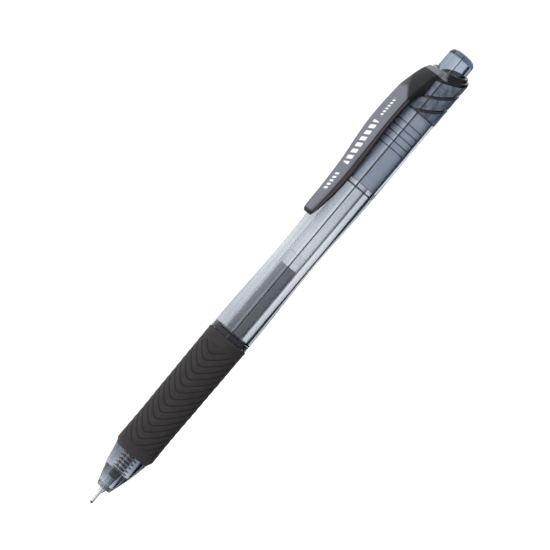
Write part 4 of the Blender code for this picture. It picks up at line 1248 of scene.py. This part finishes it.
# %% Push button
BUTTON_RADIUS, BUTTON_ROUNDING, BUTTON_BORE, BUTTON_FLANGE = 3.7, 1.7, 2.4, 3.95
END_WALL = 1.6
button_outline = [
    (BUTTON_REAR - END_WALL, 0.0),
    (BUTTON_REAR - END_WALL, BUTTON_BORE, 0.25),
    (BUTTON_FRONT, BUTTON_BORE, 0.1),
    (BUTTON_FRONT, BUTTON_FLANGE, 0.1),
    (BUTTON_FRONT + FLANGE_WIDTH, BUTTON_FLANGE, 0.1),
    (BUTTON_FRONT + FLANGE_WIDTH, BUTTON_RADIUS),
]
for k in range(11):
    a = 0.5 * math.pi * k / 10
    x = BUTTON_REAR - BUTTON_ROUNDING + BUTTON_ROUNDING * math.sin(a)
    radius = BUTTON_RADIUS - BUTTON_ROUNDING + BUTTON_ROUNDING * math.cos(a)
    button_outline.append((x, radius))
button_outline.append((BUTTON_REAR, 0.0))
put_on(
    "clear_push_button",
    turned(button_outline, closed=False, steps=144),
    "button",
    button_plastic,
    "button_clear",
    "push_button",
)

# %% [markdown]
# ## Refill
#
# Inside lies the refill: a milky tube of black gel with a little clear grease behind it, an
# adapter, a stepped metal holder, and a fine steel pipe with the ball in its mouth. The tube lets
# nearly all light through. The gel is painted as it looks through two clear walls, so it is not
# quite black.

# %% Tube and ink finishes
milky = Finish("milky_tube_plastic")
flow = milky.noise(0.5, (0.2, 1, 1))
milky.set(
    Base_Color=milky.mixed(flow, (0.95, 0.96, 0.97), (0.98, 0.985, 0.99)),
    Roughness=0.14 + 0.08 * milky.noise(3.0, (0.2, 1, 1)),
    Transmission_Weight=0.97,
    IOR=ACRYLIC_IOR,
)
ink = Finish("black_gel")
ink.set(
    Base_Color=ink.mixed(ink.noise(0.6), (0.32, 0.36, 0.44), (0.37, 0.41, 0.49)),
    Roughness=0.12 + 0.1 * ink.noise(1.5),
)
grease = Finish("clear_grease")
grease.set(
    Base_Color=grease.mixed(grease.noise(0.8), (0.96, 0.96, 0.95), (0.92, 0.92, 0.91)),
    Roughness=0.06 + 0.06 * grease.noise(2.0),
    Transmission_Weight=1.0,
    IOR=1.03,
)
print("ink finishes:", milky.material.name, ink.material.name, grease.material.name)

# %% [markdown]
# The small hard pieces are metal with fine drawing lines, or satin moulded plastic. Ink stays on
# the very tip of the needle and darkens it.

# %% Metals and satin plastics
NO_INK, INKED_TIP = -9.0, -4.25


def metal(name, colour, rough, stretch, dark_before=NO_INK):
    """Metal with fine drawing lines. Ink darkens it in front of dark_before."""
    finish = Finish(name)
    lines = finish.noise(8.0, stretch)
    darker = tuple(0.8 * part for part in colour)
    clean = finish.part_of("X").rise(dark_before - 0.15, dark_before + 0.15)
    finish.set(
        Base_Color=finish.mixed(clean, (0.03, 0.03, 0.035), finish.mixed(lines, darker, colour)),
        Roughness=rough + 0.12 * lines,
        Metallic=1.0,
        Normal=finish.bump(lines, 0.004, 0.4),
    )
    return finish.material


def satin(name, colour, rough):
    finish = Finish(name)
    darker = tuple(0.8 * part for part in colour)
    finish.set(
        Base_Color=finish.mixed(finish.noise(0.9), colour, darker),
        Roughness=rough + 0.12 * finish.noise(4.0),
        Normal=finish.bump(finish.noise(5.0), 0.006, 0.3),
    )
    return finish.material


steel = metal("drawn_steel", (0.62, 0.63, 0.66), 0.12, (0.1, 2.0, 2.0), INKED_TIP)
spring_wire = metal("spring_wire", (0.95, 0.96, 0.97), 0.2, (1.0, 1.0, 1.0))
carbide = metal("ground_carbide", (0.22, 0.22, 0.24), 0.2, (1.0, 1.0, 1.0))
adapter_plastic = satin("dark_adapter_plastic", (0.085, 0.11, 0.155), 0.22)
white_plastic = satin("white_plug_plastic", (0.78, 0.78, 0.76), 0.35)
cam_plastic = satin("grey_cam_plastic", (0.38, 0.43, 0.5), 0.3)
hard = (steel, spring_wire, carbide, adapter_plastic, white_plastic, cam_plastic)
print("hard finishes:", ", ".join(material.name for material in hard))

# %% [markdown]
# Every part of the refill is turned, and every one goes with the refill. The tube is plain, and
# the liquids inside it are columns whose ends bulge or sink a little.

# %% Ink tube, gel and grease
TUBE_RADIUS, TUBE_BORE = 2.9, 2.45


def refill_piece(name, node, finish, slot, outside, inside, steps=96):
    """A turned piece with a bore that goes with the refill."""
    shape = turned(tube(outside, inside), steps=steps)
    return put_on(name, shape, "refill", finish, slot, node)


def filling(name, node, finish, slot, dish):
    """A column of liquid inside the tube."""
    front, rear = span(node)
    radius = TUBE_BORE - 0.04
    outline = [(front + 0.02, 0.0), (front, radius, 0.05), (rear, radius, 0.05)]
    for k in range(7, -1, -1):
        outline.append((rear - dish * (1 - (k / 8) ** 2), radius * k / 8))
    put_on(name, turned(outline, closed=False, steps=96), "refill", finish, slot, node)


tube_front, tube_rear = span("ink_tube")
refill_piece(
    "milky_ink_tube",
    "ink_tube",
    milky.material,
    "tube_plastic",
    [(tube_front, TUBE_RADIUS, 0.08), (tube_rear, TUBE_RADIUS, 0.08)],
    [(tube_front, TUBE_BORE, 0.08), (tube_rear, TUBE_BORE, 0.08)],
    steps=144,
)
filling("black_gel_ink", "gel_ink", ink.material, "ink_black", 0.05)
filling("grease_follower", "ink_follower", grease.material, "follower_grease", 0.8)

# %% [markdown]
# The needle's mouth is spun inwards round the ball, which leaves about a tenth of a millimetre of
# it showing. The bore is widest round the ball, where the ink comes past it.

# %% Needle and ball
BALL_RADIUS = 0.25
NEEDLE_RADIUS, NEEDLE_BORE = 0.42, 0.28
needle_front, needle_rear = span("needle_pipe")
TIP = needle_front - 0.12
refill_piece(
    "steel_needle",
    "needle_pipe",
    steel,
    "needle_steel",
    [
        (needle_front, 0.24, 0.01),
        (needle_front + 0.3, NEEDLE_RADIUS, 0.12),
        (needle_rear, NEEDLE_RADIUS, 0.03),
    ],
    [
        (needle_front, 0.21),
        (TIP + 0.25, 0.3),
        (TIP + 0.65, NEEDLE_BORE),
        (needle_rear, NEEDLE_BORE),
    ],
    steps=48,
)
ball = bmesh.new()
bmesh.ops.create_icosphere(ball, subdivisions=4, radius=BALL_RADIUS)
bmesh.ops.translate(ball, verts=ball.verts, vec=(TIP + BALL_RADIUS, 0, 0))
put_on("writing_ball", ball, "refill", carbide, "ball_carbide", "tip_ball")

# %% [markdown]
# The needle is pressed into a stepped metal holder with one fine groove, and the holder's spigot
# is pressed into the adapter.

# %% Tip holder
HOLDER_RADIUS, HOLDER_GROOVE, HOLDER_SPIGOT = 1.05, 0.95, 0.8
holder_front, holder_rear = span("tip_holder")
refill_piece(
    "stepped_tip_holder",
    "tip_holder",
    steel,
    "needle_steel",
    [
        (holder_front, 0.6, 0.03),
        (holder_front + 0.55, 0.82, 0.1),
        (holder_front + 1.3, HOLDER_RADIUS, 0.15),
        (holder_front + 2.6, HOLDER_RADIUS, 0.05),
        (holder_front + 2.7, HOLDER_GROOVE, 0.05),
        (holder_front + 3.1, HOLDER_GROOVE, 0.05),
        (holder_front + 3.2, HOLDER_RADIUS, 0.05),
        (holder_rear - 3.0, HOLDER_RADIUS, 0.05),
        (holder_rear - 3.0, HOLDER_SPIGOT, 0.02),
        (holder_rear, HOLDER_SPIGOT, 0.05),
    ],
    [
        (holder_front, 0.46),
        (TIP + 5.64, 0.46),
        (TIP + 6.0, NEEDLE_BORE),
        (holder_rear, NEEDLE_BORE),
    ],
    steps=64,
)

# %% [markdown]
# The adapter joins the holder to the tube. The return spring pushes on its shoulder, and a vented
# plug closes the tube's other end.

# %% Adapter and plug
PLUG_FIT = 2.41
adapter_front, adapter_rear = span("refill_adapter")
shoulder = adapter_rear - 6.0
flange_end = shoulder + 1.6
refill_piece(
    "dark_refill_adapter",
    "refill_adapter",
    adapter_plastic,
    "adapter_plastic",
    [
        (adapter_front, 1.2, 0.08),
        (adapter_front + 0.3, 1.35, 0.1),
        (shoulder, 1.55, 0.05),
        (shoulder, 2.86, 0.1),
        (flange_end, 2.86, 0.1),
        (flange_end, PLUG_FIT, 0.02),
        (adapter_rear, 2.31, 0.1),
    ],
    [
        (adapter_front, 0.84),
        (holder_rear + 0.1, 0.84),
        (holder_rear + 0.1, 0.6),
        (flange_end, 0.6),
        (adapter_rear, 1.4),
    ],
)
plug_front, plug_rear = span("tail_plug")
refill_piece(
    "white_tail_plug",
    "tail_plug",
    white_plastic,
    "plug_white",
    [
        (plug_front, PLUG_FIT, 0.15),
        (plug_rear - 1.0, PLUG_FIT),
        (plug_rear - 1.0, TUBE_RADIUS, 0.05),
        (plug_rear, TUBE_RADIUS, 0.3),
    ],
    [(plug_front, 0.5, 0.05), (plug_rear, 0.5, 0.05)],
)

# %% [markdown]
# ## Springs
#
# A coil spring is a helix with closed ends. The line of the wire is worked out turn by turn, and
# Blender's curve bevel gives it its round section.

# %% Wire
def wire(points, radius, resolution=3):
    """A bmesh of a round wire along the points."""
    curve = bpy.data.curves.new("wire", "CURVE")
    curve.dimensions = "3D"
    curve.bevel_depth = radius
    curve.bevel_resolution = resolution
    curve.use_fill_caps = True
    spline = curve.splines.new("POLY")
    spline.points.add(len(points) - 1)
    for spot, point in zip(spline.points, points):
        spot.co = (*point, 1.0)
    holder = bpy.data.objects.new("wire", curve)
    scene.collection.objects.link(holder)
    bpy.context.view_layer.update()
    made = bmesh.new()
    made.from_mesh(holder.evaluated_get(bpy.context.evaluated_depsgraph_get()).to_mesh())
    bpy.data.objects.remove(holder)
    return made


def coil(front, rear, mean_radius, wire_radius, turns, steps=28):
    """Points along a compression spring with one closed turn at each end."""
    dead = 2 * wire_radius + 0.06
    start, length = front + wire_radius, rear - front - 2 * wire_radius
    pitch = (length - 2 * dead) / (turns - 2)
    points = []
    for k in range(turns * steps + 1):
        done = k / steps
        x = start + dead * min(done, 1.0) + pitch * min(max(done - 1.0, 0.0), turns - 2.0)
        x += dead * max(done - turns + 1.0, 0.0)
        angle = math.tau * done
        points.append((x, mean_radius * math.sin(angle), mean_radius * math.cos(angle)))
    return points


print("points in a coil of 11 turns:", len(coil(0.0, 10.0, 2.0, 0.2, 11)))

# %% [markdown]
# The button can be pressed a millimetre further than its click, so the return spring stops that
# much short of the adapter's shoulder. The hair spring starts as a straight pin behind the ball.

# %% Springs
OVER_TRAVEL = 1.0
SPRING_WIRE, SPRING_RADIUS, SPRING_TURNS = 0.22, 2.22, 11
HAIR_WIRE, HAIR_RADIUS, HAIR_TURNS = 0.06, 0.15, 6
spring_front, spring_rear = span("return_spring")
spring_rear = min(spring_rear, shoulder - OVER_TRAVEL - 0.05)
return_coil = coil(spring_front, spring_rear, SPRING_RADIUS, SPRING_WIRE, SPRING_TURNS)
put_on(
    "return_coil_spring",
    wire(return_coil, SPRING_WIRE),
    "spring",
    spring_wire,
    "spring_steel",
    "return_spring",
)
pin_front, coil_rear = span("ball_spring")
needle_coil = coil(pin_front + 2.4, coil_rear, HAIR_RADIUS, HAIR_WIRE, HAIR_TURNS, steps=16)
pin = [(pin_front, 0.0, 0.0), (pin_front + 2.2, 0.0, 0.0)]
put_on(
    "ball_pressing_spring",
    wire(pin + needle_coil, HAIR_WIRE, resolution=2),
    "refill",
    spring_wire,
    "needle_steel",
    "ball_spring",
)

# %% [markdown]
# ## Click mechanism
#
# The two cams meet with crowns of eight pointed teeth. The thrust cam slides with the button, and
# the rotor turns an eighth of a turn each time. A crown is a ring of vertices pushed along the
# pen into a zigzag.

# %% Cams
CAM_RADIUS, CAM_BORE, ROTOR_RADIUS, FIN_RADIUS = 2.9, 1.8, 2.6, 3.6
TEETH, TOOTH = 8, 0.9
FIN_HALF_ANGLE = math.radians(8)
rotor_front = span("rotor_cam")[0]
fin_top = LEDGE - 0.1
crown_base = fin_top + 0.3
thrust_front, thrust_rear = span("thrust_cam")


def crowned(base):
    """A reshape that pushes the ring of vertices at x = base into pointed teeth."""

    def reshape(vert):
        if abs(vert.co.x - base) < 0.001 and radius_at(vert) > CAM_BORE - 0.01:
            phase = (angle_of(vert.co) * TEETH / math.tau) % 1.0
            vert.co.x = base + TOOTH * (1.0 - abs(2.0 * phase - 1.0))

    return reshape


def cam(outline, base, closed, fins):
    """A turned cam with a crown of teeth, and fins from (front, rear, inner, angle, ramp)."""
    shape = turned(outline, closed=closed, steps=16 * TEETH, reshape=crowned(base))
    blocks = [
        sector(front, rear, inner, FIN_RADIUS, angle, FIN_HALF_ANGLE, 0.0, ramp)
        for front, rear, inner, angle, ramp in fins
    ]
    return worked(shape, [("UNION", fin) for fin in blocks])


print("height of a tooth:", TOOTH, "mm")

# %% [markdown]
# The turning cam is a stub that runs in the tube's end. The rear ends of its four fins climb
# along the helix of the ribs.

# %% Turning cam
rotor_outline = [
    (rotor_front, 0.0),
    (rotor_front, CAM_BORE, 0.3),
    (rotor_front + 1.0, CAM_BORE),
    (rotor_front + 1.0, ROTOR_RADIUS, 0.1),
    (crown_base - 0.4, ROTOR_RADIUS),
    (crown_base - 0.2, CAM_RADIUS),
    (crown_base, CAM_RADIUS),
    (crown_base, CAM_BORE),
    (crown_base - 0.6, CAM_BORE),
    (crown_base - 0.6, 0.0),
]
rotor_fins = [
    (fin_top - 3.9, fin_top, ROTOR_RADIUS - 0.4, k * math.tau / CAM_RIBS, RAMP)
    for k in range(CAM_RIBS)
]
put_on(
    "turning_cam",
    cam(rotor_outline, crown_base, False, rotor_fins),
    "rotor",
    cam_plastic,
    "cam_plastic",
    "rotor_cam",
    sharp=30.0,
)

# %% [markdown]
# The sliding cam is a tube that plugs into the button. Its fins run between the ribs and keep it
# from turning.

# %% Sliding cam
PLUG_RADIUS = 2.3
tube_end = thrust_rear - 5.5
thrust_outline = tube(
    [
        (thrust_front, CAM_RADIUS),
        (thrust_front + 1.2, CAM_RADIUS),
        (tube_end, CAM_RADIUS, 0.1),
        (tube_end, PLUG_RADIUS),
        (thrust_rear, PLUG_RADIUS, 0.2),
    ],
    [(thrust_front, CAM_BORE), (thrust_rear, CAM_BORE, 0.1)],
)
thrust_fins = [
    (thrust_front + 2.0, thrust_front + 8.0, CAM_RADIUS - 0.3, (k + 0.5) * math.tau / CAM_RIBS, 0.0)
    for k in range(CAM_RIBS)
]
put_on(
    "sliding_cam",
    cam(thrust_outline, thrust_front, True, thrust_fins),
    "button",
    cam_plastic,
    "cam_plastic",
    "thrust_cam",
    sharp=30.0,
)

# %% [markdown]
# ## Floor and light
#
# Clear plastic only looks clear against something bright, so the pen lies on a light table: a
# plain white floor that glows softly from below.

# %% Floor
floor_mesh = bmesh.new()
bmesh.ops.create_grid(floor_mesh, x_segments=8, y_segments=8, size=4.0)
mesh = bpy.data.meshes.new("floor")
floor_mesh.to_mesh(mesh)
floor_mesh.free()
floor = bpy.data.objects.new("floor", mesh)
scene.collection.objects.link(floor)
floor_finish = bpy.data.materials.new("plain_pale_floor")
floor_finish.use_nodes = True
floor_shader = floor_finish.node_tree.nodes["Principled BSDF"]
floor_shader.inputs["Base Color"].default_value = (0.5, 0.5, 0.5, 1.0)
floor_shader.inputs["Roughness"].default_value = 0.9
floor_shader.inputs["Emission Color"].default_value = (1.0, 1.0, 1.0, 1.0)
floor_shader.inputs["Emission Strength"].default_value = 1.0
mesh.materials.append(floor_finish)
print("the floor is", floor.dimensions.x, "m wide")

# %% [markdown]
# The sky is soft white all round, apart from a black card behind the pen. Bent light finds that
# card, which gives the plastic its dark edge lines. The card fades out close to the horizon, so
# that it never shows behind the table's edge.

# %% Sky
TO_CARD = (0.0, 0.88, 0.47)
world = bpy.data.worlds.new("studio")
world.use_nodes = True
sky = world.node_tree
background = sky.nodes["Background"]


def smooth_step(inputs):
    """A smooth Map Range node in the sky, with values or links for its sockets."""
    made = sky.nodes.new("ShaderNodeMapRange")
    made.interpolation_type = "SMOOTHSTEP"
    for name, value in inputs.items():
        if isinstance(value, bpy.types.NodeSocket):
            sky.links.new(value, made.inputs[name])
        else:
            made.inputs[name].default_value = value
    return made.outputs[0]


where = sky.nodes.new("ShaderNodeTexCoord").outputs["Generated"]
near_card = sky.nodes.new("ShaderNodeVectorMath")
near_card.operation = "DOT_PRODUCT"
near_card.inputs[1].default_value = TO_CARD
split = sky.nodes.new("ShaderNodeSeparateXYZ")
sky.links.new(where, near_card.inputs[0])
sky.links.new(where, split.inputs[0])
card = {"Value": near_card.outputs["Value"], "From Min": 0.70, "From Max": 0.90}
card = smooth_step({**card, "To Min": 0.72, "To Max": 0.02})
foot = {"Value": split.outputs["Z"], "From Min": 0.0, "From Max": 0.06}
foot = smooth_step({**foot, "To Min": 1.0, "To Max": card})
sky.links.new(foot, background.inputs["Strength"])
background.inputs["Color"].default_value = (1.0, 1.0, 1.0, 1.0)
scene.world = world
print("nodes in the sky:", len(sky.nodes))

# %% [markdown]
# One soft box stands low on the camera's side for a long highlight. Light crosses many clear
# walls, so it is let through more of them than usual before it is given up.

# %% Soft box
CLEAR_WALLS = 24


def soft_box(name, direction, distance, width, tall, power):
    """A large soft lamp that looks at the pen from a direction."""
    lamp = bpy.data.lights.new(name, "AREA")
    lamp.shape = "RECTANGLE"
    lamp.size, lamp.size_y = width, tall
    lamp.energy = power
    holder = bpy.data.objects.new(name, lamp)
    holder.location = Vector(direction).normalized() * distance
    holder.rotation_euler = Vector(direction).to_track_quat("Z", "Y").to_euler()
    scene.collection.objects.link(holder)


soft_box("front_soft_box", (0.0, -0.96, 0.29), 0.9, 1.2, 0.2, 1.3)
scene.view_settings.view_transform = "Standard"
scene.cycles.max_bounces = CLEAR_WALLS
scene.cycles.transmission_bounces = CLEAR_WALLS
print("lamps:", len(bpy.data.lights))
